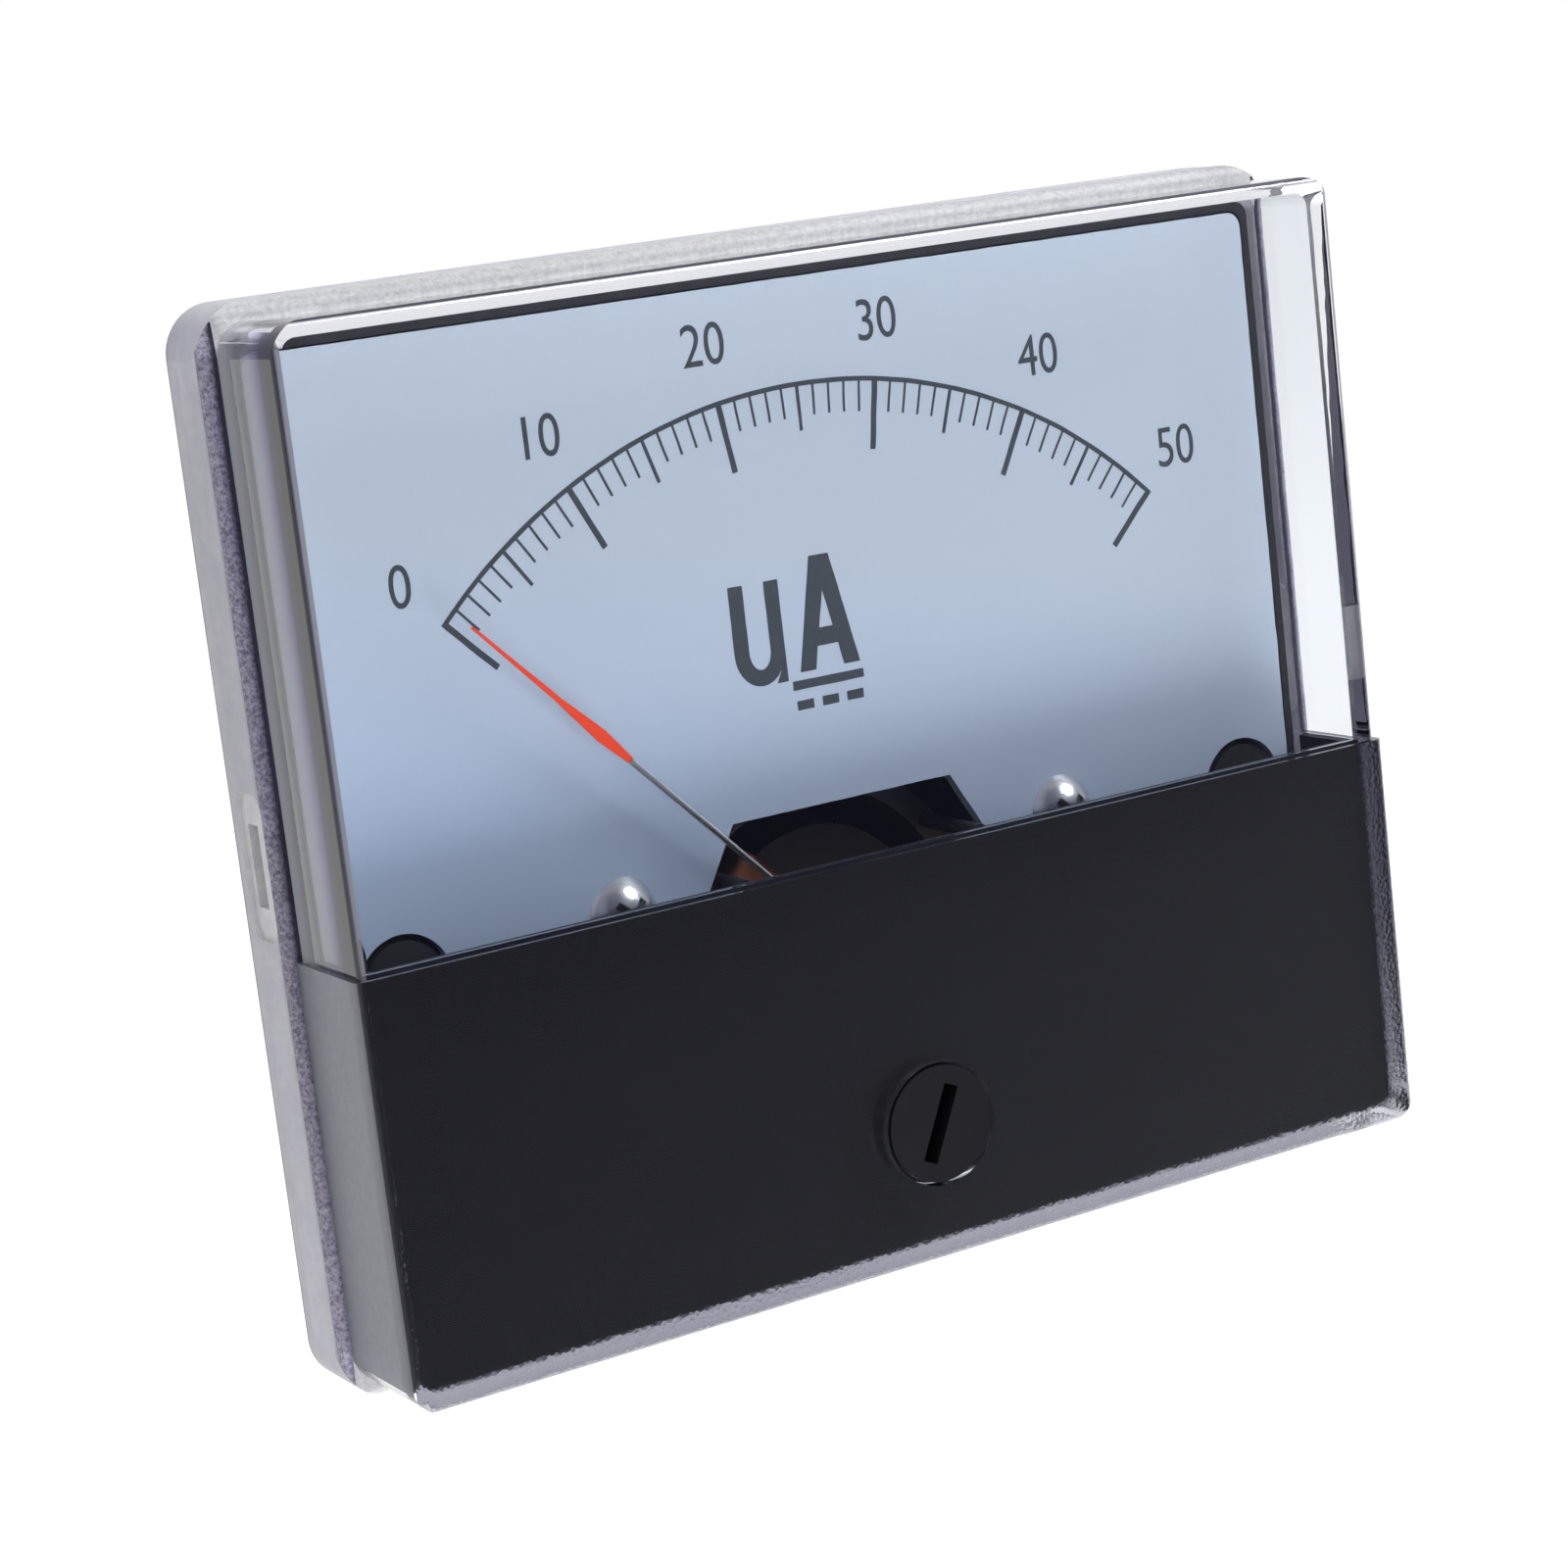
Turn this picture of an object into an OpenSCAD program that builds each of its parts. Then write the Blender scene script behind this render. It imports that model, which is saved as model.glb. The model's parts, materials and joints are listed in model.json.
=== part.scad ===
// Moving-coil panel meter with a clear push-fit cover and a round rear drum.
// Frame: origin at the centre of the panel face, +X right, +Z up, +Y into the panel.

/* [Cover] */
// Width of the flange that lies on the panel
flange_w = 70; // [69.5:0.5:76]
// Height of the flange
flange_h = 60; // [59.5:0.5:66]
// Thickness of the flange
flange_t = 4.6; // [4.2:0.1:5.4]
// Corner radius of the flange
flange_r = 2.8; // [2:0.2:5]
// How far the flange stands out past the raised front
face_step = 1; // [0.5:0.1:1.4]
// Corner radius of the raised front
face_r = 1.8; // [1.5:0.1:3]
// Panel face to the outer face of the window
front_depth = 12; // [11.6:0.1:15]
// Wall at the sides, top and bottom of the raised front
side_wall = 0.9; // [0.8:0.1:1.4]
// Thickness of the window
window_t = 1.9; // [1.5:0.1:2.1]
// Height of the lower, grained part's top edge against the centre
grain_top = -5.1; // [-7:0.1:-4.6]
// How far the grained part stands out at the sides
grain_out = 0.35; // [0.1:0.05:0.5]
// How far the grained part stands out at the front
grain_front = 0.3; // [0.1:0.05:0.6]
// Rounding of the front edges
edge_r = 0.5; // [0.2:0.1:1]
// Rounding of the flange's front edge
flange_edge_r = 0.9; // [0.4:0.1:1.4]

/* [Mask] */
// Thickness of the black mask
mask_t = 0.8; // [0.6:0.1:1.2]
// Depth of the mask's side walls behind its face
mask_side = 4; // [2:0.2:4.4]

/* [Base] */
// Depth of the drum behind the panel
drum_depth = 22; // [21.5:0.5:30]
// Wall of the drum
drum_wall = 1.8; // [1.4:0.1:1.9]
// Thickness of the base plate
plate_t = 2.7; // [2.4:0.1:3]
// Thickness of the rim round the dial
rim_t = 0.5; // [0.4:0.1:0.8]
// Yoke to the inside of the drum
drum_gap = 0.35; // [0.3:0.05:1.2]
// Thickness of the drum's rear wall
rear_wall = 2; // [1.6:0.1:2.6]
// Height of the raised rings round the terminals
ring_h = 1; // [0.6:0.1:2]

/* [Dial] */
// Gap between the dial plate's side edges and the rim of the base
dial_side_gap = 0.1; // [0.05:0.05:1]
// Gap between the dial plate's top edge and that rim
dial_top_gap = 0.1; // [0.05:0.05:1]
// Bottom edge of the dial plate, behind the mask
dial_bottom = -9; // [-9.4:0.1:-8.6]
// Thickness of the dial plate
dial_t = 0.8; // [0.5:0.1:1]
// Panel face to the printed face of the dial
dial_stand = 4.7; // [4.4:0.1:5]
// Half width of the dial's opening at its top
opening_half = 7.4; // [7:0.1:8]
// Top of the dial's opening
opening_top = -2.8; // [-3.2:0.1:-1.5]
// Slope of the opening's sides, sideways per unit of height
opening_slope = 0.58; // [0.5:0.02:0.8]
// Spacing of the two dial screws
dial_screw_gap = 30; // [29:0.2:32]
// Height of the dial screws against the centre
dial_screw_z = -6.45; // [-6.8:0.05:-6]
// Side edge of the dial plate to the posts that place it
post_inset = 3.6; // [3.4:0.1:4.5]
// Radius of those posts
post_r = 2.4; // [1.8:0.1:2.6]

/* [Movement] */
// Pivot axis below the centre of the meter
pivot_drop = 12.1; // [11.9:0.1:12.3]
// Radius of the core magnet
core_r = 7.2; // [6.8:0.1:7.4]
// Length of the core magnet and the yoke
core_len = 10.3; // [9:0.1:10.6]
// How far the core's front stands ahead of the panel face
core_stand = 0.3; // [0.1:0.1:0.6]
// Running gap between core and coil
coil_gap = 0.35; // [0.3:0.05:0.45]
// Thickness of the coil former
former_t = 0.3; // [0.2:0.05:0.35]
// Thickness of the winding
winding_t = 0.8; // [0.6:0.05:0.85]
// Width of the coil across its plane
coil_w = 2.6; // [2:0.1:3]
// Gap between coil and yoke
yoke_gap = 0.5; // [0.4:0.05:0.6]
// Thickness of the yoke ring
yoke_t = 1.5; // [1.2:0.1:1.7]
// Swing of the pointer over the scale, in degrees
sweep = 90; // [80:1:92]
// Travel past each end of the scale up to the stop, in degrees
overtravel = 3; // [2:0.5:4]
// Spacing of the pillars that carry the bridge
pillar_gap = 28; // [27.6:0.1:29]
// Radius of the pillars
pillar_r = 2.2; // [1.8:0.1:2.3]

/* [Pointer] */
// Pivot axis to the tip of the pointer
pointer_len = 33.1; // [30:0.1:33.5]
// Length of the red lance
lance_len = 12.7; // [10:0.2:14]
// Greatest width of the lance
lance_w = 0.75; // [0.5:0.05:1]
// Radius of the pointer tube
tube_r = 0.19; // [0.15:0.01:0.25]
// Height of the pointer above the dial, at its bend
pointer_lift = 0.9; // [0.7:0.1:1.2]
// Tilt of the pointer away from the dial, in degrees
pointer_tilt = 4; // [0:0.5:5]
// Rest position of the pointer above the scale's zero, in degrees
pointer_set = 0.4; // [0:0.1:1]

/* [Zero adjuster] */
// Zero screw above the bottom edge of the raised front
zero_rise = 7.95; // [7.7:0.05:8.2]
// Radius of the zero screw's head
zero_r = 3.4; // [3:0.1:3.8]
// Angle of its slot, clockwise from upright
zero_turn = 25; // [0:1:90]
// Offset of its pin from its axis
zero_throw = 1.3; // [1:0.05:1.5]
// Radius of that pin
zero_pin_r = 0.6; // [0.4:0.05:0.8]

/* [Studs] */
// Panel studs inside the flange's edges
stud_inset = 8; // [7.5:0.5:9]
// Radius of the panel studs
stud_r = 1.5; // [1.25:0.05:1.5]
// Length of the panel studs behind the panel face
stud_len = 14; // [8:1:20]
// Spacing of the terminals
terminal_gap = 24; // [22:0.5:25]
// Height of the terminals against the centre
terminal_z = 4; // [3:0.5:8]
// Radius of the terminal studs
terminal_r = 2; // [1.5:0.1:2.2]
// Length of the terminal studs behind the drum
terminal_len = 13; // [11:0.5:18]

/* [Hidden] */
$fn = 64;

// Clearances
snug = 0.03;      // between fixed pieces that are pressed, cast or glued together
running = 0.05;   // between a shaft and its hole
loose = 0.3;      // between pieces that only face each other
over = 1;         // how far a cutter runs past the face it cuts

// Cover, front to back
window_y = -front_depth;
window_in_y = window_y + window_t;
grain_y = window_y - grain_front;
grain_in_y = window_in_y - grain_front;
face_w = flange_w - 2 * face_step;
face_h = flange_h - 2 * face_step;
cavity_w = face_w - 2 * side_wall;
cavity_h = face_h - 2 * side_wall;
lower_cavity_w = cavity_w + 2 * grain_out;
cavity_r = max(face_r - side_wall, 0.3);
plate_w = cavity_w - 2 * loose;
plate_h = cavity_h - 2 * loose;
plate_r = cavity_r;
catch_y = -2.15;       // middle of the snap catches
catch_t = 0.9;
catch_h = 4.2;
catch_slot_gap = 0.2;
catch_reach = 0.9;     // past the base plate's edge
recess_h = 8.2;        // shallow recess round each catch window
recess_depth = 0.25;
recess_front = -4;
recess_back = -0.8;

// Mask
mask_y = grain_in_y + running;
mask_back_y = mask_y + mask_t;
mask_w = lower_cavity_w - 2 * running;
mask_top = grain_top;
mask_h = cavity_h - 2 * running;

// Zero screw
zero_z = zero_rise - face_h / 2;
zero_hole_r = zero_r + 0.2;
zero_stem_r = 2.45;
zero_ledge_y = grain_y + 1;
zero_head_y = grain_y + 0.05;
zero_head_back_y = zero_ledge_y - running;
zero_slot_w = 0.95;
zero_slot_len = 4.6;
zero_slot_depth = 1.6;
retainer_t = 0.5;
retainer_r = 3.6;
retainer_y = mask_back_y + running;
groove_r = 2.05;
zero_stem_back_y = retainer_y + retainer_t + 0.4;

// Dial
dial_w = plate_w - 2 * (rim_t + dial_side_gap);
dial_top = plate_h / 2 - rim_t - dial_top_gap;
dial_y = -dial_stand;
dial_back_y = dial_y + dial_t;
dial_corner_r = plate_r;
notch_r = post_r + 0.4;
notch_top = -4.65;
post_x = dial_w / 2 - post_inset;
post_z = notch_top - notch_r;
top_post_drop = post_r + 1;
dial_screw_x = dial_screw_gap / 2;
dial_head_r = 2.13;
dial_head_h = 1.3;
small_screw_r = 1;
screw_reach = 5;       // screw's end behind the piece that it holds
tap_reach = 6;         // end of its hole

// Movement axis and coil
pivot_z = -pivot_drop;
core_y = -core_stand;
core_back_y = core_y + core_len;
former_in_r = core_r + coil_gap;
former_r = former_in_r + former_t;
coil_r = former_r + winding_t;
coil_corner_r = norm([coil_r, coil_w / 2]);
yoke_in_r = coil_corner_r + yoke_gap;
yoke_r = yoke_in_r + yoke_t;
drum_in_r = pivot_drop + yoke_r + drum_gap;
drum_r = drum_in_r + drum_wall;
former_front_y = core_y - coil_gap - former_t;
former_back_y = core_back_y + coil_gap + former_t;
coil_front_y = former_front_y - winding_t;
coil_back_y = former_back_y + winding_t;
rest_angle = pointer_set - sweep / 2;

// Pivots, balance cross and hairsprings, measured out from the coil's two faces
staff_r = 1.3;
staff_t = 0.3;
cross_t = 0.25;
collet_r = 0.85;
collet_len = 1.05;
pin_r = 0.22;
pin_len = 0.75;
tip_len = 0.3;
spring_w = 0.35;
spring_t = 0.1;
spring_r = 3.4;
spring_turns = 4;
spring_set = 0.65;     // coil staff to the hairspring's near edge
cross_y = coil_front_y - staff_t;
cross_front_y = cross_y - cross_t;
front_collet_y = cross_y - collet_len;
front_spring_y = cross_y - spring_set - spring_w;
rear_staff_y = coil_back_y + staff_t;
rear_collet_y = rear_staff_y + collet_len;
rear_spring_y = rear_staff_y + spring_set;
front_tip_y = front_collet_y - pin_len - tip_len;
rear_tip_y = rear_collet_y + pin_len + tip_len;

// Jewel screws, bridge and frame
jewel_screw_r = 1.25;
jewel_r = 0.7;
jewel_t = 0.8;
cup_r = 0.5;
cup_depth = 0.55;
tip_gap = 0.1;
jewel_inset = 0.05;
front_jewel_y = front_tip_y - tip_gap + cup_depth + jewel_inset;
rear_jewel_y = rear_tip_y + tip_gap - cup_depth - jewel_inset;
jewel_screw_len = 3.6;
nut_t = 0.9;
nut_r = 2.2;
lever_t = 0.35;
lever_y = front_jewel_y - lever_t + 0.1;
bridge_t = 1.2;
bridge_back_y = lever_y - running;
bridge_y = bridge_back_y - bridge_t;
bridge_h = 4.6;
bridge_end_r = 2.3;
bridge_hub_r = 3.2;
pillar_x = pillar_gap / 2;
frame_t = 2;
frame_y = rear_jewel_y + 0.1;
frame_back_y = frame_y + frame_t;
lug_half_angle = 20;
ear_r = 1.9;
ear_screw_r = 1.2;
ear_core_r = 0.9;      // hole that the ear screw cuts its thread in
ear_head_r = 1.75;
ear_head_h = 1;
ear_angle = 26.6;      // of the ears below the level of the drum's axis
ear_reach = drum_r - drum_wall - ear_r - loose;
ear_x = ear_reach * cos(ear_angle);
ear_z = -ear_reach * sin(ear_angle);
bridge_head_r = 1.8;
bridge_head_h = 1.1;
web_t = 1.6;           // web between a bridge pillar and the dial pillar beside it
web_depth = 12;
web_h = 5;

// Pointer
pointer_y = dial_y - pointer_lift;
tube_seat_y = cross_front_y - tube_r;
arm_len = 4.9;
tube_inner = spring_r + 0.4;
bend_out = 8.3;
lance_root = pointer_len - lance_len - bend_out;
lance_t = 0.12;
leaf_wide = 2.4;       // lance's root to where it is widest
leaf_len = 5.8;
needle_w = 0.32;
needle_tip_w = 0.14;
tail_len = 5.4;
tail_weight_r = 1.1;
side_len = 4.9;
side_weight_r = 0.6;
weight_t = 0.8;

// Stops
stop_radius = (yoke_in_r + yoke_r) / 2;
stop_r = 0.45;
stop_gap = 0.3;
stop_angle = sweep / 2 + overtravel + asin((stop_r + tube_r + stop_gap) / stop_radius);
stop_y = pointer_y - 0.8;

// Zero lever
lever_hole_r = jewel_screw_r + running;
lever_ring_r = 2.3;
fork_play = 0.25;
fork_half = zero_pin_r + fork_play;
tine_w = 0.9;
fork_reach = pivot_z - zero_z;
fork_root = fork_reach - zero_throw - zero_pin_r - 0.9;
fork_end = fork_reach + 0.35;
lever_arm_w = 1.2;
lip_angle = 120;
lip_t = 0.4;
zero_pin_back_y = lever_y + lever_t + 0.6;

// Rear spring tab
tab_t = 0.3;
tab_x = -5.5;
tab_w = 1.6;
tab_y = frame_y - 0.6;
rivet_r = 0.75;
bush_r = 1.3;
bush_flange_r = 1.7;

// Base
drum_floor_y = drum_depth - rear_wall;
stud_x = flange_w / 2 - stud_inset;
stud_z = flange_h / 2 - stud_inset;
stud_seat_r = stud_r + 0.3;
stud_bevel = 0.35;
nut_face_share = 0.98; // turned face of a nut against its width over flats
stud_head_r = 2.75;
stud_head_t = 1.6;

// Terminals, from the drum's floor outwards
terminal_x = terminal_gap / 2;
terminal_ring_r = 5.2;
terminal_face_y = drum_depth + ring_h;
washer_r = 4.4;
washer_t = 0.8;
tag_t = 0.5;
tag_eye_r = 4;
tag_w = 3;
tag_neck = 6.4;        // stud's axis to the bend
tag_bend = 50;
tag_tail = 4.8;
tag_hole_r = 0.8;
tag_y = terminal_face_y + washer_t;
terminal_nut_y = tag_y + tag_t;
terminal_nut_t = 3.2;
terminal_end_y = terminal_nut_y + terminal_nut_t;
terminal_seat_r = terminal_r + 0.3;
terminal_pitch_r = terminal_r - 0.2; // of the thread inside the nut
terminal_nut_r = 4.04;
terminal_head_t = 1.6;
strap_t = 0.4;
strap_w = 3;
strap_y = drum_floor_y - strap_t;
strap_foot_z = pivot_z + 1.6;

// ---- Shared forms -------------------------------------------------------

// Rectangle with rounded corners, centred
module rounded_rect(w, h, r) {
    square([w - 2 * r, h], center = true);
    square([w, h - 2 * r], center = true);
    for (sx = [-1, 1], sz = [-1, 1])
        translate([sx * (w / 2 - r), sz * (h / 2 - r)]) circle(r);
}

// Extrudes a front view from one depth to another
module slab(y_front, y_back) {
    translate([0, y_back, 0]) rotate([90, 0, 0])
        linear_extrude(y_back - y_front) children();
}

// Round bar along the depth
module rod(x, z, r, y_front, y_back) {
    translate([x, y_back, z]) rotate([90, 0, 0]) cylinder(r = r, h = y_back - y_front);
}

// Cone along the depth, from the radius at its front to the one at its back
module taper(x, z, r_front, r_back, y_front, y_back) {
    translate([x, y_back, z]) rotate([90, 0, 0])
        cylinder(r1 = r_back, r2 = r_front, h = y_back - y_front);
}

// Bar whose two long front edges are rounded, along the height
module loaf(span, length, y_front, y_back, edge) {
    linear_extrude(length, center = true) {
        translate([-span / 2, y_front + edge]) square([span, y_back - y_front - edge]);
        translate([-span / 2 + edge, y_front]) square([span - 2 * edge, edge]);
        for (side = [-1, 1]) translate([side * (span / 2 - edge), y_front + edge]) circle(edge);
    }
}

// Block with rounded corners and rounded front edges
module soft_block(w, h, r, y_front, y_back, edge) {
    intersection() {
        slab(y_front, y_back) rounded_rect(w, h, r);
        loaf(w, h, y_front, y_back, edge);
        rotate([0, 90, 0]) loaf(h, w, y_front, y_back, edge);
    }
}

// Keeps what lies below a height
module below(z) {
    intersection() {
        children();
        translate([-flange_w, -2 * front_depth, z - 2 * flange_h])
            cube([2 * flange_w, 4 * front_depth, 2 * flange_h]);
    }
}

// Puts a piece on the pivot axis, turned clockwise as seen from the front
module on_pivot(angle) {
    translate([0, 0, pivot_z]) rotate([0, angle, 0]) children();
}

// Extrudes a side view, drawn in depth and height, across its own plane
module across(width) {
    rotate([90, 0, 90]) linear_extrude(width, center = true) children();
}

// Hexagon whose corners are turned down at both faces
module hexagon(x, z, r, y_front, y_back) {
    face_r = r * cos(30) * nut_face_share;
    spread_r = face_r + (y_back - y_front) / tan(30);
    intersection() {
        translate([x, y_back, z]) rotate([90, 0, 0]) cylinder(r = r, h = y_back - y_front, $fn = 6);
        taper(x, z, face_r, spread_r, y_front, y_back);
        taper(x, z, spread_r, face_r, y_front, y_back);
    }
}

// Hexagon nut with a round hole
module hex_nut(x, z, r, hole, y_front, y_back) {
    difference() {
        hexagon(x, z, r, y_front, y_back);
        rod(x, z, hole, y_front - over, y_back + over);
    }
}

// Stud whose rear end is turned down
module stud(x, z, r, y_front, y_back) {
    rod(x, z, r, y_front, y_back - stud_bevel);
    taper(x, z, r, r - stud_bevel, y_back - stud_bevel, y_back);
}

// Screw with a domed head at its front and a cross recess
module dome_screw(x, z, head_r, head_h, shank_r, y_seat, y_end) {
    dome_r = (head_r * head_r + head_h * head_h) / (2 * head_h);
    cross_w = 0.22 * head_r;
    difference() {
        union() {
            intersection() {
                translate([x, y_seat - head_h + dome_r, z]) sphere(dome_r);
                rod(x, z, head_r, y_seat - head_h - over, y_seat);
            }
            rod(x, z, shank_r, y_seat - head_h / 2, y_end);
        }
        for (a = [45, 135]) translate([x, y_seat - head_h, z]) rotate([0, a, 0])
            cube([1.1 * head_r, head_h, cross_w], center = true);
    }
}

// Points of a flat spiral strip, outer edge and then inner edge
function spiral(r_in, r_out, turns, t, steps = 20) = let (n = turns * steps) concat(
    [for (i = [0:n]) let (a = 360 * i / steps, r = r_in + (r_out - r_in) * i / n)
        [(r + t / 2) * sin(a), (r + t / 2) * cos(a)]],
    [for (i = [n:-1:0]) let (a = 360 * i / steps, r = r_in + (r_out - r_in) * i / n)
        [(r - t / 2) * sin(a), (r - t / 2) * cos(a)]]);

// Hairspring round the pivot axis, its outer end at the given angle
module hairspring(y_front, end_angle) {
    on_pivot(end_angle) slab(y_front, y_front + spring_w)
        polygon(spiral(collet_r + 0.17, spring_r, spring_turns, spring_t));
}

// ---- Cover and mask -----------------------------------------------------

module clear_cover() {
    color([0.86, 0.9, 0.95, 0.35]) difference() {
        union() {
            soft_block(flange_w, flange_h, flange_r, -flange_t, 0, flange_edge_r);
            soft_block(face_w, face_h, face_r, window_y, -flange_t / 2, edge_r);
            below(grain_top)
                soft_block(face_w + 2 * grain_out, face_h, face_r, grain_y, -flange_t / 2, edge_r);
        }
        slab(window_in_y, over) rounded_rect(cavity_w, cavity_h, cavity_r);
        below(grain_top + running)
            slab(grain_in_y, over) rounded_rect(lower_cavity_w, cavity_h, cavity_r);
        rod(0, zero_z, zero_hole_r, grain_y - over, zero_ledge_y);
        rod(0, zero_z, zero_stem_r + running, grain_y - over, grain_in_y + over);
        for (side = [-1, 1]) catch_window(side);
    }
}

// Window through the flange's side wall with a shallow recess round it
module catch_window(side) {
    slot_h = catch_h + 2 * catch_slot_gap;
    slot_t = catch_t + 2 * catch_slot_gap;
    translate([side * flange_w / 2, catch_y, 0])
        cube([flange_w - cavity_w + over, slot_t, slot_h], center = true);
    translate([side * flange_w / 2, (recess_front + recess_back) / 2, 0])
        rotate([0, 90, 0]) linear_extrude(2 * recess_depth, center = true)
            rounded_rect(recess_h, recess_back - recess_front, 1);
}

// Tray with its open side to the rear and at its top edge
module mask_insert() {
    color([0.06, 0.06, 0.08]) difference() {
        below(mask_top) slab(mask_y, mask_back_y + mask_side)
            rounded_rect(mask_w, mask_h, cavity_r);
        slab(mask_back_y, mask_back_y + mask_side + over)
            rounded_rect(mask_w - 2 * mask_t, mask_h - 2 * mask_t, cavity_r);
        rod(0, zero_z, zero_stem_r + 2 * running, mask_y - over, mask_back_y + over);
    }
}

// ---- Base ---------------------------------------------------------------

module base_housing() {
    color([0.07, 0.07, 0.08]) difference() {
        union() {
            slab(-plate_t, 0) rounded_rect(plate_w, plate_h, plate_r);
            slab(dial_y, -plate_t / 2) rim_outline();
            rod(0, 0, drum_r, -running, drum_depth);
            for (side = [-1, 1]) {
                snap_catch(side);
                rod(side * post_x, post_z, post_r, dial_y, -plate_t / 2);
                rod(side * post_x, dial_top - top_post_drop, post_r, dial_back_y, -plate_t / 2);
                rod(side * terminal_x, terminal_z, terminal_ring_r, drum_floor_y, terminal_face_y);
            }
        }
        difference() {
            rod(0, 0, drum_in_r, -plate_t - over, drum_floor_y);
            for (side = [-1, 1]) ear_boss(side);
        }
        for (side = [-1, 1]) {
            rod(side * terminal_x, terminal_z, terminal_seat_r + snug, 0, terminal_face_y + over);
            rod(side * ear_x, ear_z, ear_core_r, frame_back_y - over, drum_floor_y - 0.5);
        }
        for (sx = [-1, 1], sz = [-1, 1]) {
            rod(sx * stud_x, sz * stud_z, stud_seat_r + snug, -plate_t - over, over);
            rod(sx * stud_x, sz * stud_z, stud_head_r + snug, -plate_t - over, -plate_t + stud_head_t);
        }
    }
}

module rim_outline() {
    difference() {
        rounded_rect(plate_w, plate_h, plate_r);
        rounded_rect(plate_w - 2 * rim_t, plate_h - 2 * rim_t, plate_r);
    }
}

// Catch that snaps into the cover's side window: square at the rear, ramped in front
module snap_catch(side) {
    translate([side * plate_w / 2, catch_y, 0]) mirror([side < 0 ? 1 : 0, 0, 0])
        linear_extrude(catch_h, center = true)
            polygon([
                [-over, -catch_t / 2], [0, -catch_t / 2], [catch_reach, 0],
                [catch_reach, catch_t / 2], [-over, catch_t / 2]
            ]);
}

// Boss in the drum that carries one ear of the movement frame
module ear_boss(side) {
    rod(side * ear_x, ear_z, ear_r, frame_back_y, drum_floor_y + over);
    translate([side * (ear_x + drum_r / 2), (frame_back_y + drum_floor_y + over) / 2, ear_z])
        cube([drum_r, drum_floor_y + over - frame_back_y, 1.2], center = true);
}

// ---- Dial ---------------------------------------------------------------

module dial_outline() {
    height = dial_top - dial_bottom;
    difference() {
        translate([0, (dial_top + dial_bottom) / 2]) rounded_rect(dial_w, height, dial_corner_r);
        opening_low = opening_half + opening_slope * (opening_top - dial_bottom + over);
        polygon([[-opening_half, opening_top], [opening_half, opening_top],
                 [opening_low, dial_bottom - over], [-opening_low, dial_bottom - over]]);
        for (side = [-1, 1]) translate([side * post_x, post_z]) {
            circle(notch_r);
            translate([-notch_r, -front_depth]) square([2 * notch_r, front_depth]);
        }
    }
}

module dial_plate() {
    color([0.8, 0.85, 0.92]) difference() {
        slab(dial_y, dial_back_y) dial_outline();
        for (side = [-1, 1])
            rod(side * dial_screw_x, dial_screw_z, small_screw_r + running,
                dial_y - over, dial_back_y + over);
    }
}

module dial_screws() {
    color([0.85, 0.86, 0.88]) for (side = [-1, 1])
        dome_screw(side * dial_screw_x, dial_screw_z, dial_head_r, dial_head_h,
                   small_screw_r - snug, dial_y, dial_back_y + screw_reach);
}

// ---- Magnet system and frame ---------------------------------------------

module yoke_ring() {
    color([0.33, 0.34, 0.36]) difference() {
        rod(0, pivot_z, yoke_r, core_y, core_back_y);
        rod(0, pivot_z, yoke_in_r, core_y - over, core_back_y + over);
        for (side = [-1, 1]) on_pivot(side * stop_angle)
            rod(0, stop_radius, stop_r - 0.15 + snug, core_y - over, core_y + 3);
    }
}

module core_magnet() {
    color([0.24, 0.24, 0.27]) rod(0, pivot_z, core_r, core_y, core_back_y);
}

// Die-cast frame: rear plate, two lugs in the air gap and four pillars
module movement_frame() {
    color([0.72, 0.73, 0.75]) difference() {
        union() {
            slab(frame_y, frame_back_y) frame_outline();
            for (side = [-1, 1]) {
                gap_lug(side);
                rod(side * pillar_x, pivot_z, pillar_r, bridge_back_y, frame_back_y);
                rod(side * dial_screw_x, dial_screw_z, pillar_r, dial_back_y, frame_back_y);
                translate([side * pillar_x, frame_back_y - web_depth, pivot_z])
                    rotate([0, side * atan2(dial_screw_x - pillar_x, dial_screw_z - pivot_z), 0])
                        translate([-web_t / 2, 0, 0]) cube([web_t, web_depth, web_h]);
            }
        }
        rod(0, pivot_z, jewel_screw_r + running, frame_y - over, frame_back_y + over);
        rod(tab_x, pivot_z, bush_r + snug, frame_y - over, frame_back_y + over);
        for (side = [-1, 1]) {
            rod(side * ear_x, ear_z, ear_screw_r + running, frame_y - over, frame_back_y + over);
            rod(side * dial_screw_x, dial_screw_z, small_screw_r,
                dial_back_y - over, dial_back_y + tap_reach);
            rod(side * pillar_x, pivot_z, small_screw_r, bridge_back_y - over, bridge_back_y + tap_reach);
        }
    }
}

module frame_outline() {
    translate([0, pivot_z]) circle(yoke_in_r);
    translate([0, pivot_z]) square([pillar_gap, 2 * pillar_r], center = true);
    for (side = [-1, 1]) {
        translate([side * pillar_x, pivot_z]) circle(pillar_r);
        translate([side * dial_screw_x, dial_screw_z]) circle(pillar_r);
        translate([side * ear_x, ear_z]) circle(ear_r);
        polygon([[side * (pillar_x - pillar_r), pivot_z],
                 [side * (dial_screw_x - pillar_r), dial_screw_z],
                 [side * dial_screw_x, dial_screw_z + pillar_r],
                 [side * (dial_screw_x + pillar_r), dial_screw_z],
                 [side * ear_x, ear_z + ear_r],
                 [side * ear_x, ear_z - ear_r],
                 [side * pillar_x, pivot_z - pillar_r]]);
    }
}

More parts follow.
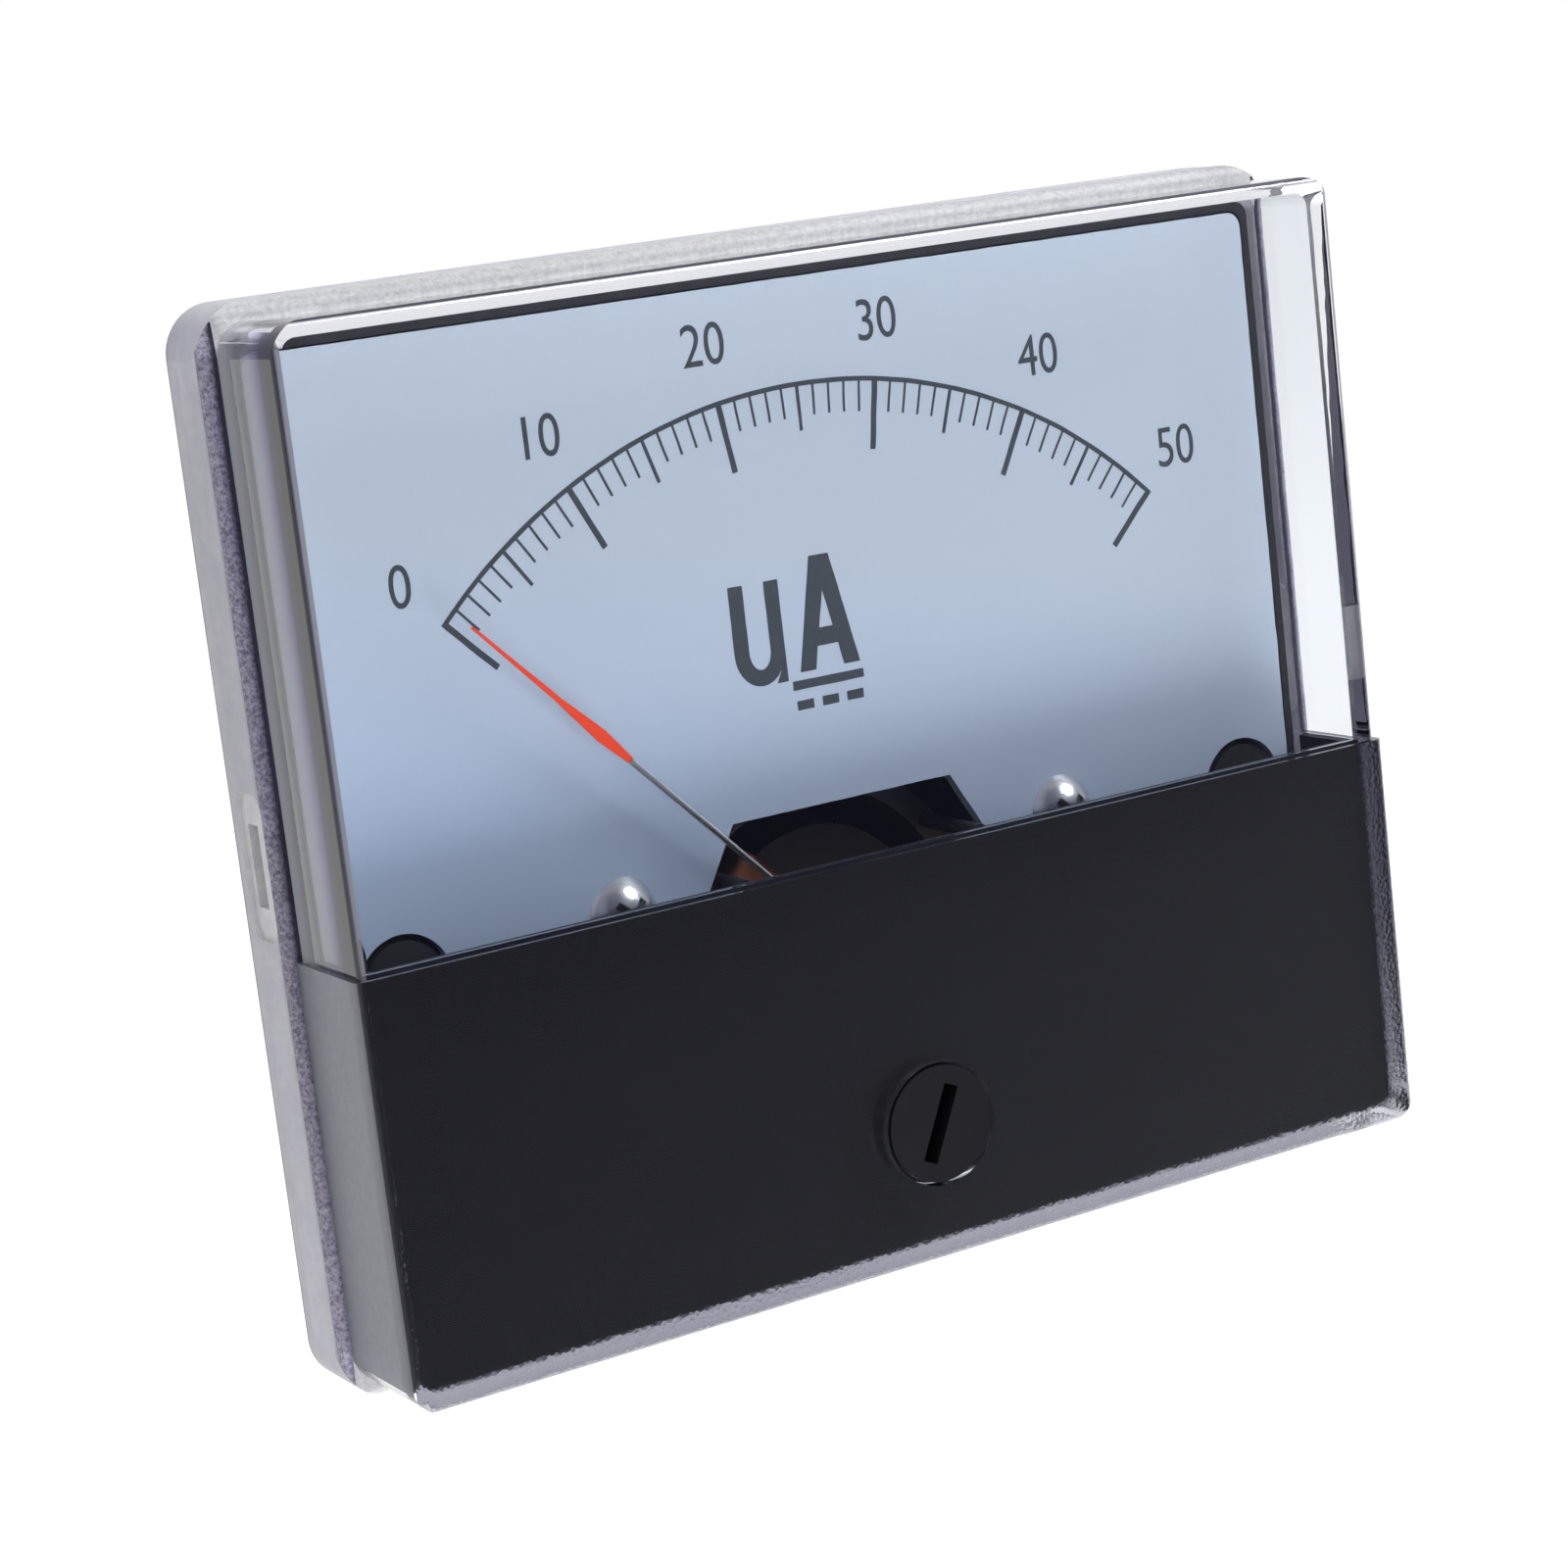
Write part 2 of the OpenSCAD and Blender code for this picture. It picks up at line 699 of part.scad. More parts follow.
// Lug that holds core and yoke apart, outside the coil's swing
module gap_lug(side) {
    intersection() {
        difference() {
            rod(0, pivot_z, yoke_in_r - snug, core_y, frame_back_y);
            rod(0, pivot_z, core_r + snug, core_y - over, core_back_y);
            rod(0, pivot_z, former_in_r, core_back_y, frame_y);
        }
        on_pivot(side * 90) slab(core_y, frame_back_y)
            polygon([[0, 0],
                     [-yoke_r * tan(lug_half_angle), yoke_r],
                     [yoke_r * tan(lug_half_angle), yoke_r]]);
    }
}

module movement_screws() {
    color([0.8, 0.8, 0.82]) for (side = [-1, 1])
        dome_screw(side * ear_x, ear_z, ear_head_r, ear_head_h, ear_core_r - snug, frame_y, drum_floor_y - 1);
}

// ---- Front bridge and bearings --------------------------------------------

module front_bridge() {
    color([0.83, 0.72, 0.42]) difference() {
        slab(bridge_y, bridge_back_y) translate([0, pivot_z]) {
            square([pillar_gap, bridge_h], center = true);
            circle(bridge_hub_r);
            for (side = [-1, 1]) translate([side * pillar_x, 0]) circle(bridge_end_r);
        }
        rod(0, pivot_z, jewel_screw_r + snug, bridge_y - over, bridge_back_y + over);
        for (side = [-1, 1])
            rod(side * pillar_x, pivot_z, small_screw_r + running, bridge_y - over, bridge_back_y + over);
    }
}

module bridge_screws() {
    color([0.8, 0.8, 0.82]) for (side = [-1, 1])
        dome_screw(side * pillar_x, pivot_z, bridge_head_r, bridge_head_h, small_screw_r - snug,
                   bridge_y, bridge_back_y + screw_reach);
}

// Threaded bearing screw; its open end faces the pivot
module jewel_screw(y_open, direction) {
    y_far = y_open + direction * jewel_screw_len;
    y_bore = y_open + direction * (jewel_t + 2 * jewel_inset);
    difference() {
        rod(0, pivot_z, jewel_screw_r, min(y_open, y_far), max(y_open, y_far));
        rod(0, pivot_z, jewel_r + snug, min(y_open, y_bore) - (direction < 0 ? 0 : over),
            max(y_open, y_bore) + (direction < 0 ? over : 0));
        translate([0, y_far, pivot_z]) cube([3 * jewel_screw_r, 1.2, 0.5], center = true);
    }
}

module front_jewel_screw() {
    color([0.85, 0.7, 0.35]) jewel_screw(front_jewel_y, -1);
}

module rear_jewel_screw() {
    color([0.85, 0.7, 0.35]) jewel_screw(rear_jewel_y, 1);
}

module front_jewel_nut() {
    color([0.85, 0.7, 0.35])
        hex_nut(0, pivot_z, nut_r, jewel_screw_r + snug, bridge_y - nut_t, bridge_y);
}

module rear_jewel_nut() {
    color([0.85, 0.7, 0.35])
        hex_nut(0, pivot_z, nut_r, jewel_screw_r + snug, frame_back_y, frame_back_y + nut_t);
}

module front_jewel() {
    y_open = front_jewel_y - jewel_inset;
    color([0.75, 0.15, 0.3]) difference() {
        rod(0, pivot_z, jewel_r, y_open - jewel_t, y_open);
        taper(0, pivot_z, 0, cup_r, y_open - cup_depth, y_open);
    }
}

module rear_jewel() {
    y_open = rear_jewel_y + jewel_inset;
    color([0.75, 0.15, 0.3]) difference() {
        rod(0, pivot_z, jewel_r, y_open, y_open + jewel_t);
        taper(0, pivot_z, cup_r, 0, y_open, y_open + cup_depth);
    }
}

module rear_hairspring() {
    color([0.8, 0.6, 0.3]) hairspring(rear_spring_y, -90);
}

// Bent tab, insulated from the frame, that holds the rear hairspring's outer end
module rear_spring_tab() {
    lip_x = -(spring_r + spring_t / 2);
    color([0.85, 0.7, 0.35]) difference() {
        union() {
            translate([tab_x - bush_flange_r, tab_y, pivot_z - tab_w / 2])
                cube([lip_x - tab_x + bush_flange_r, tab_t, tab_w]);
            translate([lip_x - lip_t, rear_spring_y, pivot_z - tab_w / 2])
                cube([lip_t, tab_y + tab_t - rear_spring_y, tab_w]);
        }
        rod(tab_x, pivot_z, rivet_r + snug, tab_y - over, tab_y + tab_t + over);
    }
}

module tab_bush() {
    color([0.55, 0.3, 0.15]) difference() {
        union() {
            rod(tab_x, pivot_z, bush_flange_r, tab_y + tab_t, frame_y);
            rod(tab_x, pivot_z, bush_r, tab_y + tab_t, frame_back_y + 0.4);
        }
        rod(tab_x, pivot_z, rivet_r + snug, tab_y, frame_back_y + over);
    }
}

module tab_rivet() {
    color([0.85, 0.7, 0.35]) {
        rod(tab_x, pivot_z, bush_r - 0.1, tab_y - 0.3, tab_y);
        rod(tab_x, pivot_z, rivet_r, tab_y - 0.1, frame_back_y + 0.8);
    }
}

module pointer_stops() {
    color([0.07, 0.07, 0.08]) for (side = [-1, 1]) on_pivot(side * stop_angle) {
        rod(0, stop_radius, stop_r - 0.15, core_y, core_y + 2.9);
        rod(0, stop_radius, stop_r, stop_y, core_y);
    }
}

// ---- Moving coil, at its zero position -------------------------------------

module former_window(grow) {
    front = former_front_y - grow;
    back = former_back_y + grow;
    radius = former_r + grow;
    translate([(front + back) / 2, 0]) rounded_rect(back - front, 2 * radius, 0.4 + grow);
}

module coil_former() {
    color([0.78, 0.79, 0.8]) on_pivot(rest_angle) across(coil_w) difference() {
        former_window(0);
        former_window(-former_t);
    }
}

module moving_coil() {
    color([0.72, 0.36, 0.2]) on_pivot(rest_angle) across(coil_w) difference() {
        former_window(winding_t);
        former_window(snug);
    }
}

module front_pivot() {
    color([0.8, 0.8, 0.82]) {
        rod(0, pivot_z, staff_r, cross_y, coil_front_y);
        rod(0, pivot_z, collet_r, front_collet_y, cross_y);
        rod(0, pivot_z, pin_r, front_collet_y - pin_len, front_collet_y);
        taper(0, pivot_z, 0, pin_r, front_tip_y, front_tip_y + tip_len);
    }
}

module rear_pivot() {
    color([0.8, 0.8, 0.82]) {
        rod(0, pivot_z, staff_r, coil_back_y, rear_staff_y);
        rod(0, pivot_z, collet_r, rear_staff_y, rear_collet_y);
        rod(0, pivot_z, pin_r, rear_collet_y, rear_collet_y + pin_len);
        taper(0, pivot_z, pin_r, 0, rear_tip_y - tip_len, rear_tip_y);
    }
}

module balance_cross() {
    arm_w = 0.5;
    color([0.82, 0.8, 0.7]) on_pivot(rest_angle) slab(cross_front_y, cross_y) difference() {
        union() {
            circle(staff_r);
            translate([-arm_w / 2, 0]) square([arm_w, arm_len]);
            translate([-arm_w / 2, -tail_len]) square([arm_w, tail_len]);
            translate([-side_len, -arm_w / 2]) square([2 * side_len, arm_w]);
        }
        circle(collet_r + snug);
    }
}

module balance_weights() {
    color([0.85, 0.7, 0.35]) on_pivot(rest_angle) {
        rod(0, -tail_len, tail_weight_r, cross_front_y - weight_t, cross_front_y);
        for (side = [-1, 1])
            rod(side * side_len, 0, side_weight_r, cross_front_y - weight_t, cross_front_y);
    }
}

// Places what lies past the pointer's bend, with the tube along the height
module past_bend() {
    on_pivot(rest_angle) translate([0, pointer_y, bend_out]) rotate([pointer_tilt, 0, 0]) children();
}

module pointer_tube() {
    rise = tube_seat_y - pointer_y;
    run = bend_out - arm_len;
    color([0.9, 0.9, 0.92]) on_pivot(rest_angle) {
        translate([0, tube_seat_y, tube_inner]) cylinder(r = tube_r, h = arm_len - tube_inner);
        translate([0, tube_seat_y, arm_len]) sphere(tube_r);
        translate([0, tube_seat_y, arm_len]) rotate([atan2(rise, run), 0, 0])
            cylinder(r = tube_r, h = norm([rise, run]));
    }
    color([0.9, 0.9, 0.92]) past_bend() {
        sphere(tube_r);
        cylinder(r = tube_r, h = lance_root);
    }
}

// Flattened red end of the pointer: a leaf that runs out in a needle
module pointer_lance() {
    side = [
        [tube_r, lance_root],
        [lance_w / 2, lance_root + leaf_wide],
        [needle_w / 2, lance_root + leaf_len],
        [needle_tip_w / 2, lance_root + lance_len]
    ];
    color([0.85, 0.12, 0.05]) past_bend() slab(-lance_t / 2, lance_t / 2)
        polygon(concat(side, [for (i = [len(side) - 1:-1:0]) [-side[i].x, side[i].y]]));
}

// ---- Zero adjuster ----------------------------------------------------------

module zero_lever() {
    tine_x = fork_half + tine_w / 2;
    lip_r = spring_r + spring_t / 2;
    color([0.83, 0.72, 0.42]) {
        difference() {
            on_pivot(0) slab(lever_y, lever_y + lever_t) {
                circle(lever_ring_r);
                translate([-lever_arm_w / 2, -fork_root]) square([lever_arm_w, fork_root]);
                translate([-tine_x - tine_w / 2, -fork_root - tine_w / 2])
                    square([2 * tine_x + tine_w, tine_w]);
                for (side = [-1, 1]) translate([side * tine_x - tine_w / 2, -fork_end])
                    square([tine_w, fork_end - fork_root]);
                rotate(-lip_angle) translate([-lever_arm_w / 2, 0]) square([lever_arm_w, lip_r + lip_t]);
            }
            rod(0, pivot_z, lever_hole_r, lever_y - over, lever_y + lever_t + over);
        }
        on_pivot(lip_angle) translate([-lever_arm_w / 2, lever_y, lip_r])
            cube([lever_arm_w, front_spring_y + spring_w - lever_y, lip_t]);
    }
}

module front_hairspring() {
    color([0.8, 0.6, 0.3]) hairspring(front_spring_y, lip_angle);
}

// Slotted screw in the cover, with an off-centre pin for the lever's fork
module zero_screw() {
    color([0.05, 0.05, 0.06]) difference() {
        union() {
            rod(0, zero_z, zero_r, zero_head_y, zero_head_back_y);
            rod(0, zero_z, zero_stem_r, zero_head_y, zero_stem_back_y);
            rod(0, zero_z + zero_throw, zero_pin_r, zero_stem_back_y - 0.5, zero_pin_back_y);
        }
        translate([0, zero_head_y, zero_z]) rotate([0, zero_turn, 0])
            cube([zero_slot_w, 2 * zero_slot_depth, zero_slot_len], center = true);
        difference() {
            rod(0, zero_z, zero_stem_r + over, retainer_y, retainer_y + retainer_t);
            rod(0, zero_z, groove_r, retainer_y - over, retainer_y + retainer_t + over);
        }
    }
}

module screw_retainer() {
    color([0.7, 0.71, 0.73]) difference() {
        rod(0, zero_z, retainer_r, retainer_y + snug / 2, retainer_y + retainer_t - snug / 2);
        rod(0, zero_z, groove_r + snug, retainer_y - over, retainer_y + retainer_t + over);
        translate([-0.6, retainer_y - over, zero_z - 2 * retainer_r])
            cube([1.2, retainer_t + 2 * over, 2 * retainer_r]);
    }
}

// ---- Studs and terminals ------------------------------------------------------

module panel_studs() {
    color([0.75, 0.75, 0.78]) for (sx = [-1, 1], sz = [-1, 1]) {
        rod(sx * stud_x, sz * stud_z, stud_head_r, -plate_t, -plate_t + stud_head_t);
        rod(sx * stud_x, sz * stud_z, stud_seat_r, -plate_t, 0);
        stud(sx * stud_x, sz * stud_z, stud_r, -snug, stud_len);
    }
}

module terminal_studs() {
    color([0.85, 0.72, 0.4]) for (side = [-1, 1]) {
        hexagon(side * terminal_x, terminal_z, terminal_nut_r, strap_y - terminal_head_t, strap_y);
        rod(side * terminal_x, terminal_z, terminal_seat_r, strap_y - terminal_head_t / 2, terminal_face_y);
        rod(side * terminal_x, terminal_z, terminal_pitch_r, terminal_face_y - snug, terminal_end_y + snug);
        stud(side * terminal_x, terminal_z, terminal_r, terminal_end_y, drum_depth + terminal_len);
    }
}

module terminal_washers() {
    color([0.8, 0.8, 0.82]) for (side = [-1, 1]) difference() {
        rod(side * terminal_x, terminal_z, washer_r, terminal_face_y, terminal_face_y + washer_t);
        rod(side * terminal_x, terminal_z, terminal_r + running,
            terminal_face_y - over, terminal_face_y + washer_t + over);
    }
}

// Solder tag: an eye round the stud and a bent tail with a round hole near its round end
module solder_tags() {
    color([0.82, 0.82, 0.8]) for (side = [-1, 1]) difference() {
        union() {
            rod(side * terminal_x, terminal_z, tag_eye_r, tag_y, tag_y + tag_t);
            translate([side * terminal_x - tag_w / 2, tag_y, terminal_z]) cube([tag_w, tag_t, tag_neck]);
            translate([side * terminal_x, tag_y, terminal_z + tag_neck]) rotate([-tag_bend, 0, 0]) {
                translate([-tag_w / 2, 0, 0]) cube([tag_w, tag_t, tag_tail]);
                rod(0, tag_tail, tag_w / 2, 0, tag_t);
            }
        }
        rod(side * terminal_x, terminal_z, terminal_r + running, tag_y - over, tag_y + tag_t + over);
        translate([side * terminal_x, tag_y, terminal_z + tag_neck]) rotate([-tag_bend, 0, 0])
            rod(0, tag_tail, tag_hole_r, -over, tag_t + over);
    }
}

module terminal_nuts() {
    color([0.85, 0.72, 0.4]) for (side = [-1, 1])
        hex_nut(side * terminal_x, terminal_z, terminal_nut_r, terminal_pitch_r + snug,
                terminal_nut_y, terminal_nut_y + terminal_nut_t);
}

// Flat copper straps from the stud heads to the frame and to the rear spring tab
module connection_straps() {
    color([0.75, 0.42, 0.25]) {
        frame_strap();
        tab_strap();
    }
}

module strap_eye(side, z_low) {
    difference() {
        union() {
            rod(side * terminal_x, terminal_z, washer_r - 0.6, strap_y, drum_floor_y);
            translate([side * terminal_x - strap_w / 2, strap_y, z_low])
                cube([strap_w, strap_t, terminal_z - z_low]);
        }
        rod(side * terminal_x, terminal_z, terminal_seat_r + snug, strap_y - over, drum_floor_y + over);
    }
}

module frame_strap() {
    strap_eye(1, strap_foot_z);
    translate([terminal_x - strap_w / 2, frame_back_y, strap_foot_z])
        cube([strap_w, drum_floor_y - frame_back_y, strap_t]);
    translate([terminal_x - strap_w / 2, frame_back_y, strap_foot_z - strap_w])
        cube([strap_w, strap_t, strap_w]);
}

module tab_strap() {
    foot_y = frame_back_y + 0.4;
    z_low = pivot_z - strap_w / 2;
    strap_eye(-1, z_low);
    translate([-terminal_x - strap_w / 2, strap_y, z_low])
        cube([tab_x + terminal_x + strap_w, strap_t, strap_w]);
    translate([tab_x + strap_w / 2, foot_y, z_low])
        cube([strap_t, drum_floor_y - foot_y, strap_w]);
    difference() {
        translate([tab_x - strap_w / 2, foot_y, z_low]) cube([strap_w + strap_t, strap_t, strap_w]);
        rod(tab_x, pivot_z, rivet_r + snug, foot_y - over, foot_y + strap_t + over);
    }
}

clear_cover();
mask_insert();
base_housing();
dial_plate();
dial_screws();
yoke_ring();
core_magnet();
movement_frame();
movement_screws();
front_bridge();
bridge_screws();
front_jewel_screw();
front_jewel_nut();
front_jewel();
rear_jewel_screw();
rear_jewel_nut();
rear_jewel();
rear_hairspring();
rear_spring_tab();
tab_bush();
tab_rivet();
pointer_stops();
coil_former();
moving_coil();
front_pivot();
rear_pivot();
balance_cross();
balance_weights();
pointer_tube();
pointer_lance();
zero_lever();
front_hairspring();
zero_screw();
screw_retainer();
panel_studs();
terminal_studs();
terminal_washers();
solder_tags();
terminal_nuts();
connection_straps();
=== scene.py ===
import json
import math

import bpy
from mathutils import Matrix, Vector


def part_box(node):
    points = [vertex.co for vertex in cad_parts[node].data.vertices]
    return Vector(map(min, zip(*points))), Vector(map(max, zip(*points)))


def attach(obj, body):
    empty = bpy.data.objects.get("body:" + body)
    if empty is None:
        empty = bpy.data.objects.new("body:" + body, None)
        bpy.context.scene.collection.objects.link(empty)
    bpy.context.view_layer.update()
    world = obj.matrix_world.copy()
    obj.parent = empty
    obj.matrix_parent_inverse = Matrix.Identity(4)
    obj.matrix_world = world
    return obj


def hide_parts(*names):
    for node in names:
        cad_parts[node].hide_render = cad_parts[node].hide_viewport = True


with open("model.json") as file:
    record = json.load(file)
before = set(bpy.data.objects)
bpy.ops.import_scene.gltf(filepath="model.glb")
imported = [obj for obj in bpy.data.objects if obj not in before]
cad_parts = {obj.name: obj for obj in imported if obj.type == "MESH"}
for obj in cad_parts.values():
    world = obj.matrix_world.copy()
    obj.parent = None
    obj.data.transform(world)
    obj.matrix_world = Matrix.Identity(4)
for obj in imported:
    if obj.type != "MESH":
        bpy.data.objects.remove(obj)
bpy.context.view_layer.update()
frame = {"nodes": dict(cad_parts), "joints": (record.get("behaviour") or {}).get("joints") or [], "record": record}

MM = 0.001

# ---- Places, all taken from the frame -------------------------------------

joints = {joint["name"]: joint for joint in frame["joints"]}
pivot = Vector(joints["pointer_swing"]["pos_m"])
dial_low, dial_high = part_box("dial_plate")
cover_low, cover_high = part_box("clear_cover")
mask_low, mask_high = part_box("mask_insert")
DIAL_FACE = dial_low.y
GRAIN_TOP = mask_high.z
SCALE_SWEEP = math.radians(90)

# ---- Materials ----------------------------------------------------------------


class Material:
    """A Principled material with its nodes at hand."""

    def __init__(self, name, color, roughness, metallic=0.0):
        self.data = bpy.data.materials.new(name)
        self.data.use_nodes = True
        self.nodes = self.data.node_tree.nodes
        self.links = self.data.node_tree.links
        self.shader = self.nodes["Principled BSDF"]
        self.output = self.nodes["Material Output"]
        self.shader.inputs["Base Color"].default_value = (*color, 1.0)
        self.shader.inputs["Roughness"].default_value = roughness
        self.shader.inputs["Metallic"].default_value = metallic
        self.coords = self.nodes.new("ShaderNodeTexCoord")

    def set(self, socket, value):
        self.shader.inputs[socket].default_value = value

    def add(self, kind, **settings):
        node = self.nodes.new(kind)
        for name, value in settings.items():
            setattr(node, name, value)
        return node

    def link(self, source, target):
        self.links.new(source, target)

    def noise(self, size, detail=3.0, roughness=0.6, stretch=(1, 1, 1)):
        """Noise whose blotches are about size metres across."""
        scale = self.add("ShaderNodeMapping")
        scale.inputs["Scale"].default_value = [1 / (size * s) for s in stretch]
        self.link(self.coords.outputs["Object"], scale.inputs["Vector"])
        node = self.add("ShaderNodeTexNoise")
        node.inputs["Scale"].default_value = 1.0
        node.inputs["Detail"].default_value = detail
        node.inputs["Roughness"].default_value = roughness
        self.link(scale.outputs["Vector"], node.inputs["Vector"])
        return node.outputs["Fac"]

    def cells(self, size, feature="F1"):
        """Cells about size metres across."""
        node = self.add("ShaderNodeTexVoronoi", feature=feature)
        node.inputs["Scale"].default_value = 1 / size
        self.link(self.coords.outputs["Object"], node.inputs["Vector"])
        return node.outputs["Distance"]

    def math(self, operation, first, second=None, clamp=False):
        node = self.add("ShaderNodeMath", operation=operation, use_clamp=clamp)
        for value, socket in zip((first, second), node.inputs):
            if value is None:
                continue
            if isinstance(value, (int, float)):
                socket.default_value = value
            else:
                self.link(value, socket)
        return node.outputs[0]

    def spread(self, value, low, high):
        """Maps a value between 0 and 1 onto low to high."""
        node = self.add("ShaderNodeMapRange")
        node.inputs["To Min"].default_value = low
        node.inputs["To Max"].default_value = high
        self.link(value, node.inputs["Value"])
        return node.outputs["Result"]

    def blend(self, value, low, high):
        """Colour between two colours by a value."""
        node = self.add("ShaderNodeMix", data_type="RGBA")
        node.inputs["A"].default_value = (*low, 1.0)
        node.inputs["B"].default_value = (*high, 1.0)
        self.link(value, node.inputs["Factor"])
        return node.outputs["Result"]

    def ramp(self, value, low, high, stops):
        """Colour along a value from low to high, by (place, colour) stops."""
        place = self.add("ShaderNodeMapRange")
        place.inputs["From Min"].default_value = low
        place.inputs["From Max"].default_value = high
        self.link(value, place.inputs["Value"])
        node = self.add("ShaderNodeValToRGB")
        elements = node.color_ramp.elements
        while len(elements) < len(stops):
            elements.new(1.0)
        for element, (at, color) in zip(elements, stops):
            element.position = at
            element.color = (*color, 1.0)
        self.link(place.outputs["Result"], node.inputs["Fac"])
        return node.outputs["Color"]

    def tinted(self, first, second):
        """Product of two colours."""
        node = self.add("ShaderNodeMix", data_type="RGBA", blend_type="MULTIPLY")
        node.inputs["Factor"].default_value = 1.0
        for value, socket in ((first, "A"), (second, "B")):
            self.link(value, node.inputs[socket])
        return node.outputs["Result"]

    def axis(self, name):
        node = self.add("ShaderNodeSeparateXYZ")
        self.link(self.coords.outputs["Object"], node.inputs["Vector"])
        return node.outputs[name]

    def bump(self, height, strength, distance):
        node = self.add("ShaderNodeBump")
        node.inputs["Strength"].default_value = strength
        node.inputs["Distance"].default_value = distance
        self.link(height, node.inputs["Height"])
        self.link(node.outputs["Normal"], self.shader.inputs["Normal"])
        return node


def metal(name, color, roughness, grain=0.06 * MM, stretch=(1, 1, 1), depth=0.006 * MM):
    """Metal with fine tool marks and a little change of gloss."""
    material = Material(name, color, roughness, metallic=1.0)
    marks = material.noise(grain, 2.0, 0.5, stretch)
    blotches = material.noise(1.6 * MM, 3.0)
    material.link(material.spread(blotches, roughness * 0.75, roughness * 1.3),
                  material.shader.inputs["Roughness"])
    dark = [channel * 0.86 for channel in color]
    material.link(material.blend(blotches, dark, color), material.shader.inputs["Base Color"])
    material.bump(marks, 0.5, depth)
    return material


def moulded(name, color, roughness, grain=0.12 * MM, depth=0.008 * MM):
    """Moulded plastic with a fine eroded surface."""
    material = Material(name, color, roughness)
    fine = material.noise(grain, 3.0, 0.6)
    broad = material.noise(6 * MM, 2.0)
    pale = [channel * 1.35 + 0.002 for channel in color]
    material.link(material.blend(broad, color, pale), material.shader.inputs["Base Color"])
    material.link(material.spread(fine, roughness * 0.85, roughness * 1.15),
                  material.shader.inputs["Roughness"])
    material.bump(fine, 0.6, depth)
    return material


def grain_height(material, cell=0.27 * MM):
    """Height of a fine leather grain: pebbles of uneven size with valleys between them."""
    pebbles = material.cells(cell)
    creases = material.noise(0.8 * cell, 2.0, 0.7)
    height = material.math("SUBTRACT", 1.0, pebbles)
    return material.math("ADD", height, material.math("MULTIPLY", creases, 0.7))


def let_light_through(material):
    """Clear plastic that doesn't stop the light on its way to what lies behind it."""
    passing = material.add("ShaderNodeBsdfTransparent")
    passing.inputs["Color"].default_value = (0.96, 0.97, 0.98, 1.0)
    rays = material.add("ShaderNodeLightPath")
    mix = material.add("ShaderNodeMixShader")
    material.link(rays.outputs["Is Shadow Ray"], mix.inputs["Fac"])
    material.link(material.shader.outputs["BSDF"], mix.inputs[1])
    material.link(passing.outputs["BSDF"], mix.inputs[2])
    material.link(mix.outputs["Shader"], material.output.inputs["Surface"])
    absorb = material.add("ShaderNodeVolumeAbsorption")
    absorb.inputs["Color"].default_value = (0.5, 0.48, 0.6, 1.0)
    absorb.inputs["Density"].default_value = 9.0
    material.link(absorb.outputs["Volume"], material.output.inputs["Volume"])
    return material


def clear_plastic(name, roughness):
    """Clear polystyrene, a little uneven in its tint as moulded."""
    material = Material(name, (0.955, 0.972, 0.985), roughness)
    material.set("Transmission Weight", 1.0)
    material.set("IOR", 1.57)
    flow = material.noise(14 * MM, 1.0)
    material.link(material.blend(flow, (0.945, 0.965, 0.982), (0.965, 0.98, 0.99)),
                  material.shader.inputs["Base Color"])
    return material


def polished_plastic():
    """The polished faces are a little wavy from the mould."""
    material = clear_plastic("clear_plastic", 0.0)
    material.bump(material.noise(2.4 * MM, 1.0, 0.5), 0.25, 0.03 * MM)
    return let_light_through(material)


def milky_plastic(name, transmission, roughness, mottle, low, high, depth, shade=None):
    """Plastic milky where its mould was blasted: share of light let through, blotches and an optional painted shade.
    """
    material = clear_plastic(name, roughness)
    material.set("Transmission Weight", transmission)
    cloud = material.noise(mottle, 3.0, 0.7)
    strong = material.add("ShaderNodeMapRange")
    strong.inputs["From Min"].default_value = 0.36
    strong.inputs["From Max"].default_value = 0.64
    material.link(cloud, strong.inputs["Value"])
    color = material.blend(strong.outputs["Result"], low, high)
    if shade:
        color = material.tinted(color, shade(material))
    material.link(color, material.shader.inputs["Base Color"])
    material.bump(material.noise(mottle / 2, 3.0, 0.7), 0.6, depth)
    return let_light_through(material)


def flange_rear_shade(material):
    """Painted shade on the flange's sides: a little darker towards the front, paler near the panel, and a thin
    painted grey line along the edge at the panel.
    """
    stops = [(0.0, (0.94, 0.94, 0.96)), (0.70, (0.95, 0.95, 0.97)), (0.78, (1, 1, 1)), (0.955, (1, 1, 1)),
             (0.97, (0.45, 0.45, 0.48))]
    return material.ramp(material.axis("Y"), -4 * MM, 0.0, stops)


def flange_front_shade(material):
    """Painted shade: the flange's front darkens to a line where it meets the raised part."""
    away = material.math("SUBTRACT", material.math("ABSOLUTE", material.axis("X")), cover_high.x - 1.0 * MM)
    stops = [(0.0, (0.03, 0.03, 0.06)), (0.22, (0.06, 0.05, 0.1)), (0.4, (0.55, 0.53, 0.6)), (0.6, (0.95, 0.93, 1)),
             (1.0, (1, 1, 1))]
    return material.ramp(away, 0.0, 1.0 * MM, stops)


def misted_plastic():
    """Lower right side and bottom of the raised part, lightly misted."""
    material = clear_plastic("clear_plastic_misted", 0.06)
    mist = material.noise(0.25 * MM, 3.0, 0.7)
    material.link(material.blend(mist, (0.93, 0.93, 0.95), (1, 1, 1)), material.shader.inputs["Base Color"])
    material.bump(mist, 0.3, 0.012 * MM)
    return let_light_through(material)


